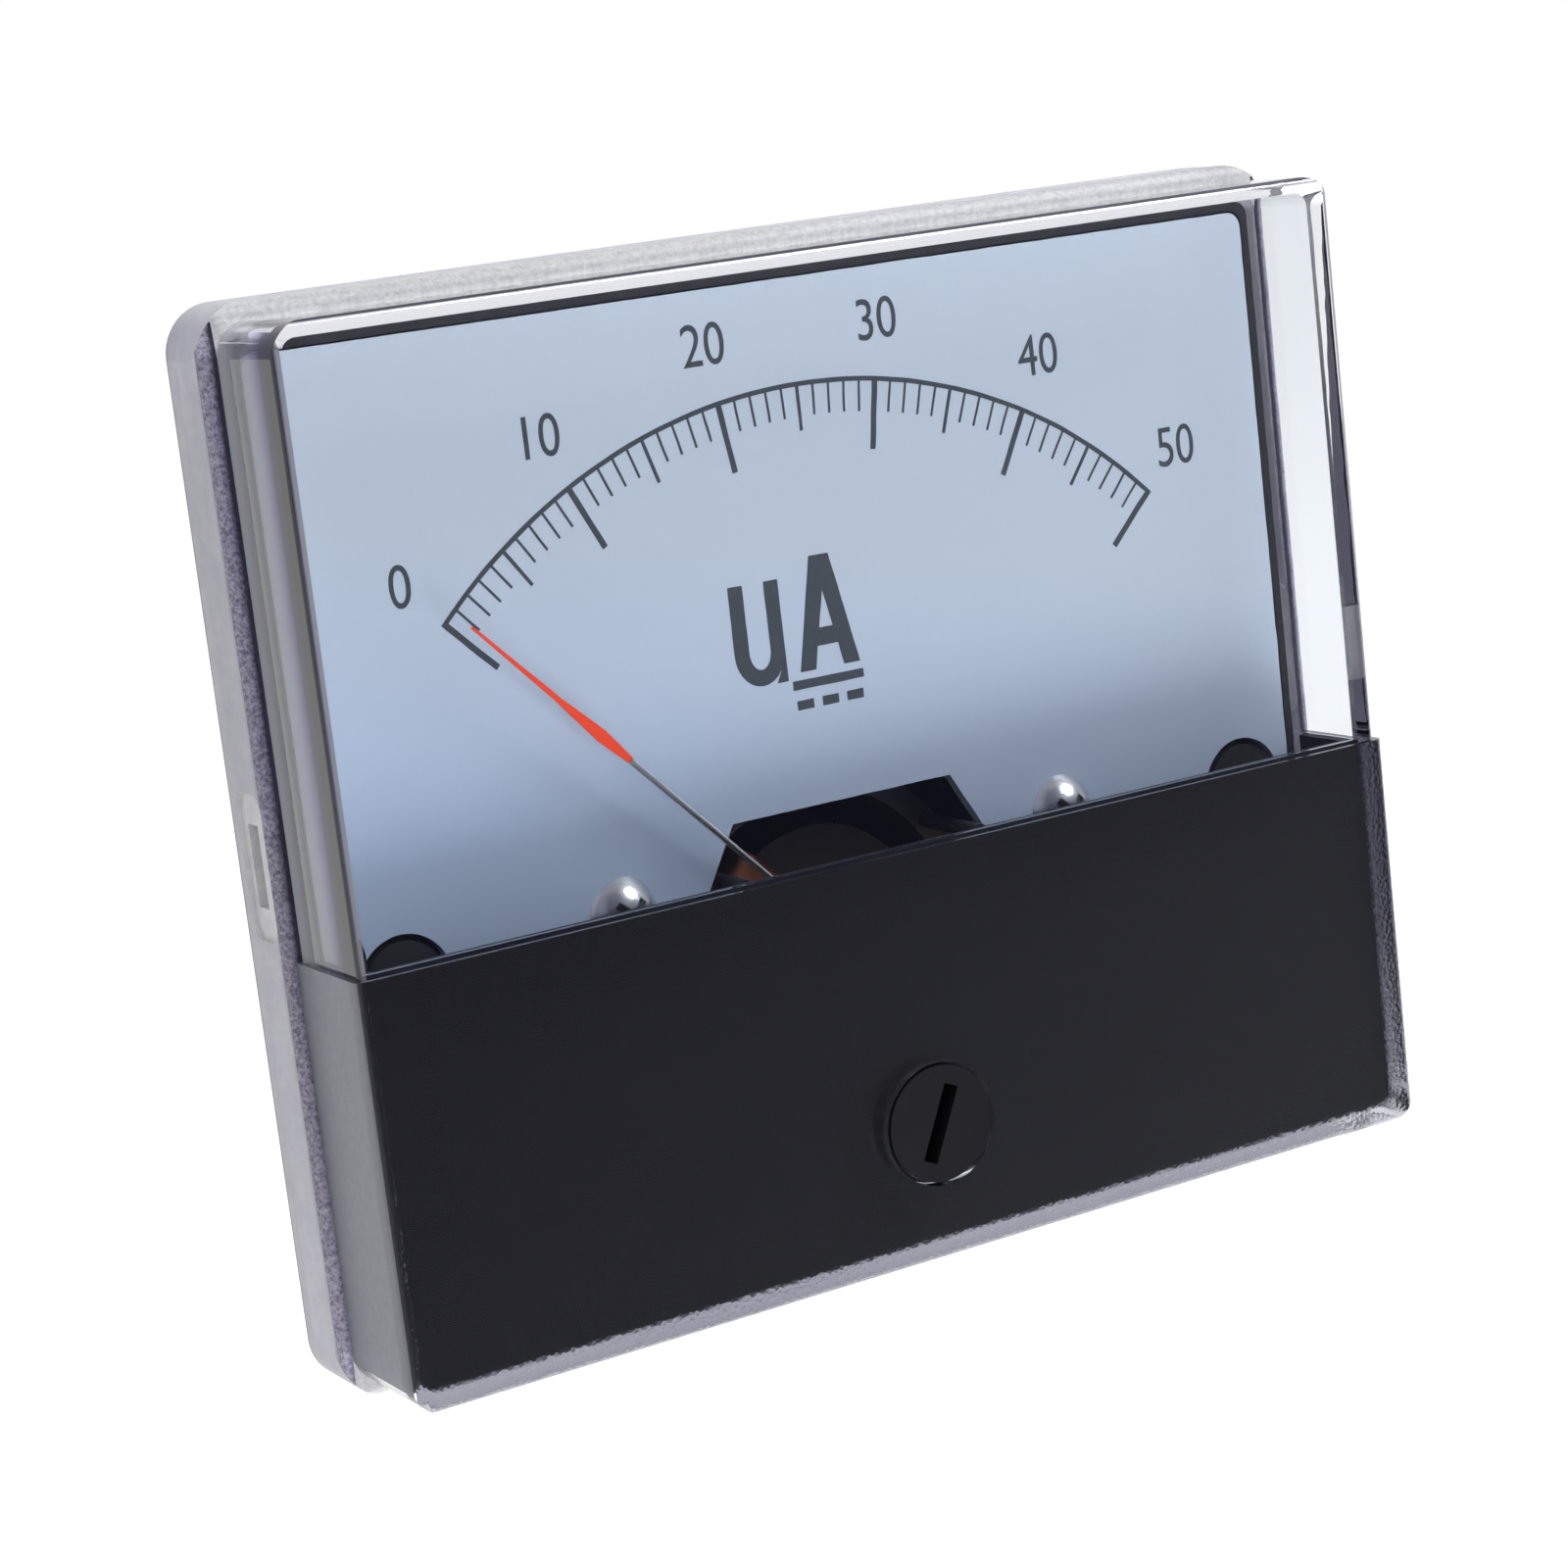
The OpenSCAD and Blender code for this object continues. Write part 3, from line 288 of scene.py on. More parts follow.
def wall_plastic():
    """Sides of the raised part above the insert: clear, with soft bands of painted shade along them, pale at the rear
    and near black at the front, where thick edges look dark.
    """
    material = clear_plastic("clear_plastic_wall", 0.04)
    milk = material.ramp(material.math("MULTIPLY", material.axis("Y"), -1.0), 4.6 * MM, 8 * MM,
                         [(0.0, (0.35, 0.35, 0.35)), (0.7, (0.93, 0.93, 0.93)), (1.0, (0.96, 0.96, 0.96))])
    material.link(milk, material.shader.inputs["Transmission Weight"])
    # Painted shade along the side: pale blue at the rear, through lavender to near black at the front edge.
    stops = [(0.0, (0.84, 0.88, 0.94)), (0.25, (0.94, 0.98, 1)), (0.45, (0.95, 0.99, 1)), (0.56, (0.72, 0.72, 0.95)),
             (0.67, (0.25, 0.22, 0.5)), (0.75, (0.012, 0.009, 0.045)), (0.82, (0.002, 0.0015, 0.012))]
    painted_bands = material.ramp(material.math("MULTIPLY", material.axis("Y"), -1.0), 4.6 * MM, 11.8 * MM, stops)
    streaks = material.noise(0.5 * MM, 3.0, 0.6, (1, 1, 20))
    soft = material.tinted(painted_bands, material.blend(streaks, (0.9, 0.89, 0.93), (1, 1, 1)))
    material.link(soft, material.shader.inputs["Base Color"])
    material.bump(streaks, 0.15, 0.01 * MM)
    return let_light_through(material)


def edge_plastic():
    """Rounded edges of the raised part, with painted shade: near black where the clear plastic is thick, and a
    painted highlight as a bright line along the front.
    """
    material = clear_plastic("clear_plastic_edge", 0.03)
    material.set("Transmission Weight", 0.8)
    streaks = material.noise(0.9 * MM, 2.0, 0.6, (1, 1, 6))
    # Painted shade and a painted highlight: near black over the thick edge, then a white line along the front.
    stops = [(0.0, (0.002, 0.0015, 0.012)), (0.5, (0.004, 0.003, 0.02)), (0.68, (0.3, 0.3, 0.4)), (0.8, (1, 1, 1))]
    painted_bands = material.ramp(material.math("MULTIPLY", material.axis("Y"), -1.0), 11.45 * MM, 12.0 * MM, stops)
    soft = material.tinted(painted_bands, material.blend(streaks, (0.8, 0.78, 0.9), (1, 1, 1)))
    material.link(soft, material.shader.inputs["Base Color"])
    material.bump(streaks, 0.3, 0.02 * MM)
    return let_light_through(material)


def grained_plastic():
    material = clear_plastic("clear_plastic_grained", 0.24)
    material.bump(grain_height(material), 0.6, 0.045 * MM)
    return let_light_through(material)


DIAL_SHADE_LOW = -5 * MM
DIAL_SHADE_HIGH = 12 * MM


def dial_paint():
    """Pale blue-grey satin paint with painted shade: darker and bluer towards its foot and its left."""
    material = Material("dial_paint", (0.44, 0.5, 0.59), 0.42)
    material.set("Specular IOR Level", 0.35)
    speckle = material.noise(0.09 * MM, 2.0)
    broad = material.noise(30 * MM, 1.0)
    # Painted shade: the colour darkens towards the foot and the left of the dial, standing in for the shade the
    # insert casts there.
    height = material.math("ADD", material.axis("Z"), material.math("MULTIPLY", material.axis("X"), 0.2))
    height = material.math("ADD", height, material.math("MULTIPLY", broad, 2 * MM))
    fade = material.add("ShaderNodeMapRange")
    fade.inputs["From Min"].default_value = DIAL_SHADE_LOW
    fade.inputs["From Max"].default_value = DIAL_SHADE_HIGH
    material.link(height, fade.inputs["Value"])
    material.link(material.blend(fade.outputs["Result"], (0.36, 0.44, 0.59), (0.42, 0.475, 0.558)),
                  material.shader.inputs["Base Color"])
    material.bump(speckle, 0.3, 0.004 * MM)
    return material


def copper_winding():
    """Enamelled wire laid side by side."""
    material = Material("copper", (0.62, 0.25, 0.12), 0.32, metallic=1.0)
    wires = material.noise(0.05 * MM, 1.0, 0.4, (1, 1, 1))
    material.link(material.blend(wires, (0.42, 0.15, 0.07), (0.75, 0.33, 0.17)),
                  material.shader.inputs["Base Color"])
    material.bump(wires, 0.6, 0.02 * MM)
    return material


def red_paint():
    material = Material("pointer_red", (0.72, 0.045, 0.012), 0.38)
    coat = material.noise(0.2 * MM, 2.0)
    material.link(material.blend(coat, (0.66, 0.035, 0.01), (0.8, 0.07, 0.02)),
                  material.shader.inputs["Base Color"])
    material.bump(coat, 0.2, 0.004 * MM)
    return material


def print_ink():
    material = Material("print_ink", (0.035, 0.045, 0.055), 0.5)
    fine = material.noise(0.15 * MM, 3.0)
    material.link(material.blend(fine, (0.025, 0.032, 0.04), (0.06, 0.072, 0.085)),
                  material.shader.inputs["Base Color"])
    material.bump(fine, 0.2, 0.003 * MM)
    return material


def grained_black():
    material = Material("black_grained", (0.006, 0.006, 0.013), 0.45)
    material.set("Specular IOR Level", 0.3)
    fine = grain_height(material)
    material.link(material.spread(fine, 0.38, 0.55), material.shader.inputs["Roughness"])
    material.bump(fine, 0.3, 0.02 * MM)
    return material


MATERIALS = {
    "clear_plastic": polished_plastic(),
    "black_grained": grained_black(),
    "black_gloss": moulded("black_gloss", (0.008, 0.008, 0.01), 0.2, depth=0.002 * MM),
    "black_moulded": moulded("black_moulded", (0.016, 0.016, 0.019), 0.42),
    "dial_paint": dial_paint(),
    "bright_metal": metal("bright_metal", (0.78, 0.78, 0.8), 0.24),
    "cast_metal": metal("cast_metal", (0.55, 0.56, 0.58), 0.45, 0.15 * MM, depth=0.02 * MM),
    "brass": metal("brass", (0.78, 0.56, 0.24), 0.27),
    "magnet": metal("magnet", (0.12, 0.12, 0.135), 0.38, 0.08 * MM),
    "yoke_iron": metal("yoke_iron", (0.32, 0.33, 0.35), 0.36, 0.08 * MM),
    "copper": copper_winding(),
    "light_metal": metal("light_metal", (0.86, 0.87, 0.88), 0.3),
    "pointer_red": red_paint(),
    "jewel_red": moulded("jewel_red", (0.45, 0.01, 0.06), 0.08, depth=0.001 * MM),
    "fibre": moulded("fibre", (0.3, 0.1, 0.03), 0.6),
}
INK = print_ink()
GRAINED_PLASTIC = grained_plastic()
SATIN_PLASTIC = milky_plastic("clear_plastic_satin", 0.5, 0.36, 1.8 * MM, (0.8, 0.79, 0.89), (0.93, 0.92, 0.99),
                              0.01 * MM, flange_rear_shade)
# Painted highlights and shade: dark purple and pale mottle on the flange's rounded front stands in for its glints,
# together with the painted shade of flange_front_shade.
GLINT_PAINTED_PLASTIC = milky_plastic("clear_plastic_glittering", 0.5, 0.2, 0.22 * MM, (0.22, 0.19, 0.32),
                                   (0.8, 0.78, 0.88), 0.1 * MM, flange_front_shade)
CLOUDED_PLASTIC = milky_plastic("clear_plastic_clouded", 0.3, 0.4, 1.1 * MM, (0.86, 0.86, 0.88), (0.99, 0.99, 0.99),
                                0.02 * MM)
# Painted shade: the lower left side is a darker lavender grey than the misted right side.
FROSTED_SHADED_PLASTIC = milky_plastic("clear_plastic_frosted", 0.75, 0.42, 0.5 * MM, (0.43, 0.45, 0.54),
                                (0.5, 0.52, 0.6), 0.02 * MM)
WHITE_PLASTIC = milky_plastic("clear_plastic_white", 0.55, 0.4, 0.3 * MM, (0.72, 0.72, 0.74), (0.98, 0.98, 0.98),
                              0.05 * MM)
WALL_PLASTIC = wall_plastic()
MISTED_PLASTIC = misted_plastic()
EDGE_PLASTIC = edge_plastic()


def dress(piece, material):
    piece.data.materials.clear()
    piece.data.materials.append(material.data)


def smooth(piece, angle=30):
    """Smooth shading with the edges over an angle kept sharp."""
    with bpy.context.temp_override(object=piece, active_object=piece, selected_objects=[piece],
                                   selected_editable_objects=[piece]):
        bpy.ops.object.shade_smooth_by_angle(angle=math.radians(angle))


for part in frame["record"]["subparts"]:
    dress(frame["nodes"][part["node"]], MATERIALS[part["material_slot"]])
    smooth(frame["nodes"][part["node"]])


FLANGE_FRONT = -4.6 * MM
FLANGE_EDGE = 0.9 * MM
BODY_SIDE = cover_high.x - 1.0 * MM
CATCH_Z = 4.3 * MM
CORNER_X, CORNER_Z = cover_high.x - 2.8 * MM, cover_high.z - 2.8 * MM


def reach(x, z):
    """How far a point lies outside the middle of the cover's corners."""
    return math.hypot(max(abs(x) - CORNER_X, 0), max(abs(z) - CORNER_Z, 0))


def cover_finish_and_shade(x, y, z, normal):
    """The finish of a face of the cover, with the painted shade that some finishes carry. Without one it is polished.
    """
    low = z < GRAIN_TOP
    raised = y < FLANGE_FRONT
    outward = normal.x * x + normal.z * z > 0
    side = abs(normal.y) < 0.5
    if low and y < cover_low.y + 0.2 * MM and normal.y < -0.8:
        return GRAINED_PLASTIC
    if FLANGE_FRONT - 0.05 * MM < y < FLANGE_FRONT + 0.8 * FLANGE_EDGE and normal.y < -0.3:
        return GLINT_PAINTED_PLASTIC if abs(x) > BODY_SIDE and abs(z) < CORNER_Z else WHITE_PLASTIC
    if abs(z) < CATCH_Z and abs(x) > BODY_SIDE - 0.7 * MM and not raised and (
            abs(normal.x) < 0.9 or abs(x) < cover_high.x - 0.1 * MM):
        return CLOUDED_PLASTIC
    if not raised and outward and side and reach(x, z) > 2.6 * MM:
        return SATIN_PLASTIC
    if raised and low and outward and side and (normal.z < -0.3 or normal.x > 0.3):
        return MISTED_PLASTIC
    if raised and outward and side and normal.x < -0.7 and reach(x, z) > 1.6 * MM:
        return FROSTED_SHADED_PLASTIC if low else WALL_PLASTIC
    if raised and not low and outward and y < cover_low.y + 1.9 * MM and -0.97 < normal.y < -0.12:
        return EDGE_PLASTIC
    return None


def finish_and_shade_cover():
    """The cover is polished, apart from its grained lower part, its sides, its flange and its rounded edges, some of
    which carry painted shade and highlights.
    """
    mesh = frame["nodes"]["clear_cover"].data
    finishes_and_shades = (None, GRAINED_PLASTIC, SATIN_PLASTIC, GLINT_PAINTED_PLASTIC, CLOUDED_PLASTIC, FROSTED_SHADED_PLASTIC,
                WHITE_PLASTIC, WALL_PLASTIC, MISTED_PLASTIC, EDGE_PLASTIC)
    for material in finishes_and_shades[1:]:
        mesh.materials.append(material.data)
    for face in mesh.polygons:
        face.material_index = finishes_and_shades.index(cover_finish_and_shade(*face.center, face.normal))


finish_and_shade_cover()

# ---- Print on the dial -----------------------------------------------------------

INK_LIFT = 0.012 * MM


def printed(name, outlines):
    """Flat ink in front of the dial from outlines in the front view, in metres. An inner outline is a hole."""
    curve = bpy.data.curves.new(name, "CURVE")
    curve.dimensions = "2D"
    curve.fill_mode = "BOTH"
    curve.extrude = INK_LIFT / 2
    for outline in outlines:
        spline = curve.splines.new("POLY")
        spline.points.add(len(outline) - 1)
        for point, (x, z) in zip(spline.points, outline):
            point.co = (x, z, 0, 1)
        spline.use_cyclic_u = True
    return settle_print(name, curve)


def settle_print(name, curve):
    """Turns a flat curve into a mesh that lies on the dial."""
    source = bpy.data.objects.new(name + "_curve", curve)
    bpy.context.scene.collection.objects.link(source)
    bpy.context.view_layer.update()
    mesh = bpy.data.meshes.new_from_object(source.evaluated_get(bpy.context.evaluated_depsgraph_get()))
    bpy.data.objects.remove(source)
    mesh.name = name
    mesh.transform(Matrix.Translation((0, DIAL_FACE - INK_LIFT / 2, 0)) @ Matrix.Rotation(math.pi / 2, 4, "X"))
    piece = bpy.data.objects.new(name, mesh)
    bpy.context.scene.collection.objects.link(piece)
    dress(piece, INK)
    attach(piece, "case")
    return piece


def scale_point(radius, share):
    """Point of the scale at a radius and a share of its sweep."""
    angle = (share - 0.5) * SCALE_SWEEP
    return (pivot.x + radius * math.sin(angle), pivot.z + radius * math.cos(angle))


def radial_bar(share, outer, length, width):
    """Bar that points at the pivot."""
    angle = (share - 0.5) * SCALE_SWEEP
    side = Vector((math.cos(angle), -math.sin(angle))) * width / 2
    far, near = Vector(scale_point(outer, share)), Vector(scale_point(outer - length, share))
    return [tuple(far - side), tuple(far + side), tuple(near + side), tuple(near - side)]


ARC_RADIUS = 33.45 * MM
ARC_WIDTH = 0.28 * MM
MAJORS = 5
MINORS = 10
TICKS = {"major": (4.15 * MM, 0.36 * MM), "medium": (2.8 * MM, 0.22 * MM), "minor": (2.0 * MM, 0.15 * MM)}
ARC_STEPS = 96


def scale_arc():
    end = TICKS["major"][1] / 2 / ARC_RADIUS / SCALE_SWEEP
    shares = [-end + (1 + 2 * end) * i / ARC_STEPS for i in range(ARC_STEPS + 1)]
    outer = [scale_point(ARC_RADIUS, share) for share in shares]
    inner = [scale_point(ARC_RADIUS - ARC_WIDTH, share) for share in reversed(shares)]
    return printed("scale_arc", [outer + inner])


def scale_ticks():
    for kind, (length, width) in TICKS.items():
        bars = []
        for i in range(MAJORS * MINORS + 1):
            this = "major" if i % MINORS == 0 else "medium" if i % (MINORS // 2) == 0 else "minor"
            if this == kind:
                bars.append(radial_bar(i / (MAJORS * MINORS), ARC_RADIUS - ARC_WIDTH, length - ARC_WIDTH, width))
        printed("scale_ticks_" + kind, bars)


def lettering(name, text, size, x, z, width=1.0):
    """Line of generic figures centred on a point of the dial."""
    curve = bpy.data.curves.new(name, "FONT")
    curve.body = text
    curve.size = size
    curve.align_x = "CENTER"
    curve.align_y = "CENTER"
    curve.extrude = INK_LIFT / 2
    source = bpy.data.objects.new(name + "_text", curve)
    bpy.context.scene.collection.objects.link(source)
    bpy.context.view_layer.update()
    mesh = bpy.data.meshes.new_from_object(source.evaluated_get(bpy.context.evaluated_depsgraph_get()))
    bpy.data.objects.remove(source)
    mesh.transform(Matrix.Translation((x, DIAL_FACE - INK_LIFT / 2, z))
                   @ Matrix.Rotation(math.pi / 2, 4, "X") @ Matrix.Diagonal((width, 1, 1, 1)))
    piece = bpy.data.objects.new(name, mesh)
    bpy.context.scene.collection.objects.link(piece)
    dress(piece, INK)
    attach(piece, "case")
    return piece


NUMBER_RADIUS = 36.6 * MM


def scale_numbers():
    for i in range(MAJORS + 1):
        x, z = scale_point(NUMBER_RADIUS, i / MAJORS)
        lettering(f"scale_number_{i}", str(10 * i), 3.4 * MM, x, z, 0.85)


def letter_a(x, z, height, width, stroke):
    """Bold condensed capital A with its foot at z and its middle at x."""
    half = width / 2
    top = 0.62 * stroke
    bar_low, bar_high = 0.2 * height, 0.36 * height

    def edge(level, inset):
        return half - inset - (half - top) * level / height

    outer = [(-half, 0), (-half + stroke, 0), (-edge(bar_low, stroke), bar_low), (edge(bar_low, stroke), bar_low),
             (half - stroke, 0), (half, 0), (top, height), (-top, height)]
    counter_top = height * (half - stroke) / (half - top) * 0.97
    inner = [(-edge(bar_high, stroke), bar_high), (edge(bar_high, stroke), bar_high), (0, counter_top)]
    return [[(x + px, z + pz) for px, pz in outline] for outline in (outer, inner)]


def letter_u(x, z, height, width, stroke, steps=14):
    """Bold condensed small u with a round foot."""
    half = width / 2
    depth = 0.34 * height
    outer = [(-half, height), (-half + stroke, height)]
    inner_half = half - stroke
    outer += [(-inner_half * math.cos(math.pi * i / steps), depth - (depth - stroke) * math.sin(math.pi * i / steps))
              for i in range(steps + 1)]
    outer += [(inner_half, height), (half, height), (half, 0), (half - stroke * 0.8, 0)]
    outer += [(half * math.cos(math.pi * i / steps), depth - depth * math.sin(math.pi * i / steps))
              for i in range(3, steps + 1)]
    return [[(x + px, z + pz) for px, pz in outer]]


def unit_symbol():
    printed("unit_a", letter_a(0.15 * MM, 4.95 * MM, 6.5 * MM, 4.0 * MM, 1.05 * MM))
    printed("unit_u", letter_u(-4.35 * MM, 4.6 * MM, 5.9 * MM, 3.3 * MM, 0.95 * MM))
    bar = [(-2.45, 4.5), (2.3, 4.5), (2.3, 3.98), (-2.45, 3.98)]
    dashes = [[(x, 3.35), (x + 1.1, 3.35), (x + 1.1, 2.8), (x, 2.8)] for x in (-2.3, -0.62, 1.06)]
    printed("unit_direct", [[(x * MM, z * MM) for x, z in shape] for shape in [bar, *dashes]])


scale_arc()
scale_ticks()
scale_numbers()
unit_symbol()

# ---- Threads and marks at the rear ------------------------------------------------

THREAD_STEPS = 40


def mesh_piece(name, vertices, faces, material, body):
    mesh = bpy.data.meshes.new(name)
    mesh.from_pydata(vertices, [], faces)
    mesh.validate()
    piece = bpy.data.objects.new(name, mesh)
    bpy.context.scene.collection.objects.link(piece)
    dress(piece, material)
    smooth(piece)
    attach(piece, body)
    return piece


def lathe(profile, x, z, steps=THREAD_STEPS):
    """Solid of revolution about an axis along the depth, from (radius, depth) points; its ends are closed."""
    vertices, faces = [], []
    for radius, depth in profile:
        for i in range(steps):
            angle = 2 * math.pi * i / steps
            vertices.append((x + radius * math.cos(angle), depth, z + radius * math.sin(angle)))
    for ring in range(len(profile) - 1):
        for i in range(steps):
            j = (i + 1) % steps
            faces.append((ring * steps + i, ring * steps + j, (ring + 1) * steps + j, (ring + 1) * steps + i))
    faces.append(tuple(range(steps - 1, -1, -1)))
    faces.append(tuple(range((len(profile) - 1) * steps, len(profile) * steps)))
    return vertices, faces


def ridge(x, z, root, crest, pitch, start, end, steps=THREAD_STEPS):
    """Helical ridge of a thread, which fades out over its first and last half turns."""
    turns = (end - start) / pitch - 1
    count = int(turns * steps)
    section = [(-0.46, 0.0), (-0.09, 1.0), (0.09, 1.0), (0.46, 0.0), (0.3, -0.25), (-0.3, -0.25)]
    vertices, faces = [], []
    for i in range(count + 1):
        angle = 2 * math.pi * i / steps
        middle = start + pitch / 2 + pitch * i / steps
        fade = min(1.0, 2 * i / steps, 2 * (count - i) / steps)
        for along, height in section:
            radius = root + (crest - root) * height * (fade if height > 0 else 1.0)
            vertices.append((x + radius * math.cos(angle), middle + along * pitch, z - radius * math.sin(angle)))
    points = len(section)
    for i in range(count):
        for k in range(points):
            near, far = i * points + k, i * points + (k + 1) % points
            faces.append((near, near + points, far + points, far))
    faces.append(tuple(range(points - 1, -1, -1)))
    faces.append(tuple(range(count * points, (count + 1) * points)))
    return vertices, faces


def threaded(name, studs, material, replaced, more=()):
    """Studs with real threads, each from its turned profile and the stretch that is threaded, and any more solids."""
    solids = list(more)
    for profile, x, z, root, crest, pitch, start, end in studs:
        solids += [lathe(profile, x, z), ridge(x, z, root, crest, pitch, start, end)]
    vertices, faces = [], []
    for more_vertices, more_faces in solids:
        base = len(vertices)
        vertices += more_vertices
        faces += [tuple(base + index for index in face) for face in more_faces]
    piece = mesh_piece(name, vertices, faces, material, "case")
    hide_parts(replaced)
    return piece


def panel_stud_threads():
    low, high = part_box("panel_studs")
    head_r, head_t, seat_r, stud_r, bevel = 2.75 * MM, 1.6 * MM, 1.8 * MM, 1.5 * MM, 0.35 * MM
    pitch = 0.5 * MM
    root = stud_r - 0.6 * pitch
    studs = []
    for x in (low.x + head_r, high.x - head_r):
        for z in (low.z + head_r, high.z - head_r):
            profile = [(head_r, low.y), (head_r, low.y + head_t), (seat_r, low.y + head_t), (seat_r, 0),
                       (stud_r, 0), (stud_r, 0.5 * pitch), (root, 1.1 * pitch),
                       (root, high.y - bevel), (root - 0.3 * bevel, high.y)]
            studs.append((profile, x, z, root, stud_r, pitch, 0.6 * pitch, high.y - 0.5 * bevel))
    return threaded("panel_stud_threads", studs, MATERIALS["bright_metal"], "panel_studs")


def terminal_stud_threads():
    low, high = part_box("terminal_studs")
    ring_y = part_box("base_housing")[1].y
    head_t, seat_r, stud_r, bevel, pitch = 1.6 * MM, 2.3 * MM, 2.0 * MM, 0.35 * MM, 0.7 * MM
    nut_low, nut_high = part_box("terminal_nuts")
    head_r = (high.z - low.z) / math.sqrt(3)
    root = stud_r - 0.55 * pitch
    thread_start = nut_high.y + 0.1 * pitch
    studs = []
    for x in (low.x + head_r, high.x - head_r):
        profile = [(seat_r, low.y + 0.5 * head_t), (seat_r, ring_y), (root, ring_y), (root, high.y - bevel),
                   (root - 0.3 * bevel, high.y)]
        studs.append((profile, x, (low.z + high.z) / 2, root, stud_r, pitch, thread_start, high.y - 0.5 * bevel))
    heads = [lathe([(head_r, low.y), (head_r, low.y + head_t)], stud[1], stud[2], 6) for stud in studs]
    return threaded("terminal_stud_threads", studs, MATERIALS["brass"], "terminal_studs", heads)


MARK_LIFT = 0.16 * MM


def raised_mark(name, x, z, strokes, body_node):
    """Generic mark raised from the drum's rear: crossed bars with sloping sides."""
    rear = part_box(body_node)[1].y - DRUM_RING
    long, thin, slope = 1.6 * MM, 0.42 * MM, 0.1 * MM
    vertices, faces = [], []
    for lift, (half_x, half_z) in zip((MARK_LIFT, 0.9 * MARK_LIFT), strokes):
        half_x, half_z = half_x * (long - thin) + thin, half_z * (long - thin) + thin
        base = len(vertices)
        for depth, inset in ((rear - 0.2 * MM, 0.0), (rear, 0.0), (rear + lift, slope)):
            vertices += [(x + sx * (half_x - inset), depth, z + sz * (half_z - inset))
                         for sx, sz in ((-1, -1), (1, -1), (1, 1), (-1, 1))]
        for level in (0, 4):
            faces += [(base + level + i, base + level + (i + 1) % 4, base + level + 4 + (i + 1) % 4, base + level + 4 + i)
                      for i in range(4)]
        faces += [(base + 3, base + 2, base + 1, base), (base + 8, base + 9, base + 10, base + 11)]
    mesh_piece(name, vertices, faces, MATERIALS["black_moulded"], "case")


DRUM_RING = 1.0 * MM
MARK_Z = -4.5 * MM


def rear_marks():
    """Plus and minus by the terminals and the round marks that the mould's ejector pins leave."""
    for name, x, strokes in (("mark_plus", 12 * MM, ((1, 0), (0, 1))), ("mark_minus", -12 * MM, ((1, 0),))):
        raised_mark(name, x, MARK_Z, strokes, "base_housing")
    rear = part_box("base_housing")[1].y - DRUM_RING
    vertices, faces = [], []
    for angle in (0.18, 0.82, 1.18, 1.82):
        x, z = 20.5 * MM * math.cos(angle * math.pi), 20.5 * MM * math.sin(angle * math.pi)
        profile = [(1.55, -0.2), (1.55, 0.0), (1.5, 0.05), (1.36, 0.05), (1.3, 0.01)]
        more_vertices, more_faces = lathe([(r * MM, rear + y * MM) for r, y in profile], x, z)
        base = len(vertices)
        vertices += more_vertices
        faces += [tuple(base + index for index in face) for face in more_faces]
    mesh_piece("ejector_marks", vertices, faces, MATERIALS["black_moulded"], "case")


panel_stud_threads()
terminal_stud_threads()
rear_marks()

# ---- Camera, floor and light ---------------------------------------------------------

CAMERA_PLACE = Vector((-106.83, -184.79, 37.56)) * MM
CAMERA_AIM = Vector((-4.08, -6.0, -1.07)) * MM
CAMERA_ROLL = math.radians(6.64)
CAMERA_LENS = 84.66

camera = bpy.data.objects.new("camera", bpy.data.cameras.new("camera"))
camera.data.lens = CAMERA_LENS
camera.data.sensor_width = 36
camera.data.clip_start = 0.005
camera.data.clip_end = 50
camera.matrix_world = (Matrix.Translation(CAMERA_PLACE)
                       @ (CAMERA_AIM - CAMERA_PLACE).to_track_quat("-Z", "Y").to_matrix().to_4x4()
                       @ Matrix.Rotation(-CAMERA_ROLL, 4, "Z"))
bpy.context.scene.collection.objects.link(camera)
bpy.context.scene.camera = camera

SKY_LIGHT = 0.6
FLOOR_GLOW = 0.46
STUDIO_DARK = Vector((0.1, -0.9, 0.4)).normalized()
STUDIO_DIM = (0.045, 0.045, 0.08, 1.0)
STUDIO_PALE = (0.93, 0.93, 0.95, 1.0)
STUDIO_LEFT = Vector((-0.9, 0.4, 0.0)).normalized()
STUDIO_SHADE = (0.46, 0.45, 0.6, 1.0)


def floor():
    """White floor well below the meter: it keeps the shadow and meets the white background."""
    near, far, level = -0.03, 20, cover_low.z - 45 * MM
    mesh = bpy.data.meshes.new("floor")
    mesh.from_pydata([(-far, near, level), (far, near, level), (far, far, level), (-far, far, level)],
                     [], [(0, 1, 2, 3)])
    plane = bpy.data.objects.new("floor", mesh)
    bpy.context.scene.collection.objects.link(plane)
    material = Material("floor", (0.9, 0.9, 0.9), 0.9)
    material.set("Specular IOR Level", 0.0)
    glow = material.add("ShaderNodeEmission")
    rays = material.add("ShaderNodeLightPath")
    seen = material.math("MAXIMUM", rays.outputs["Is Camera Ray"],
                         material.math("MAXIMUM", rays.outputs["Is Glossy Ray"], rays.outputs["Is Transmission Ray"]))
    unspread = material.math("LESS_THAN", rays.outputs["Diffuse Depth"], 0.5)
    material.link(material.math("MULTIPLY", material.math("MULTIPLY", seen, unspread), FLOOR_GLOW),
                  glow.inputs["Strength"])
    total = material.add("ShaderNodeAddShader")
    material.link(material.shader.outputs["BSDF"], total.inputs[0])
    material.link(glow.outputs["Emission"], total.inputs[1])
    material.link(total.outputs["Shader"], material.output.inputs["Surface"])
    dress(plane, material)


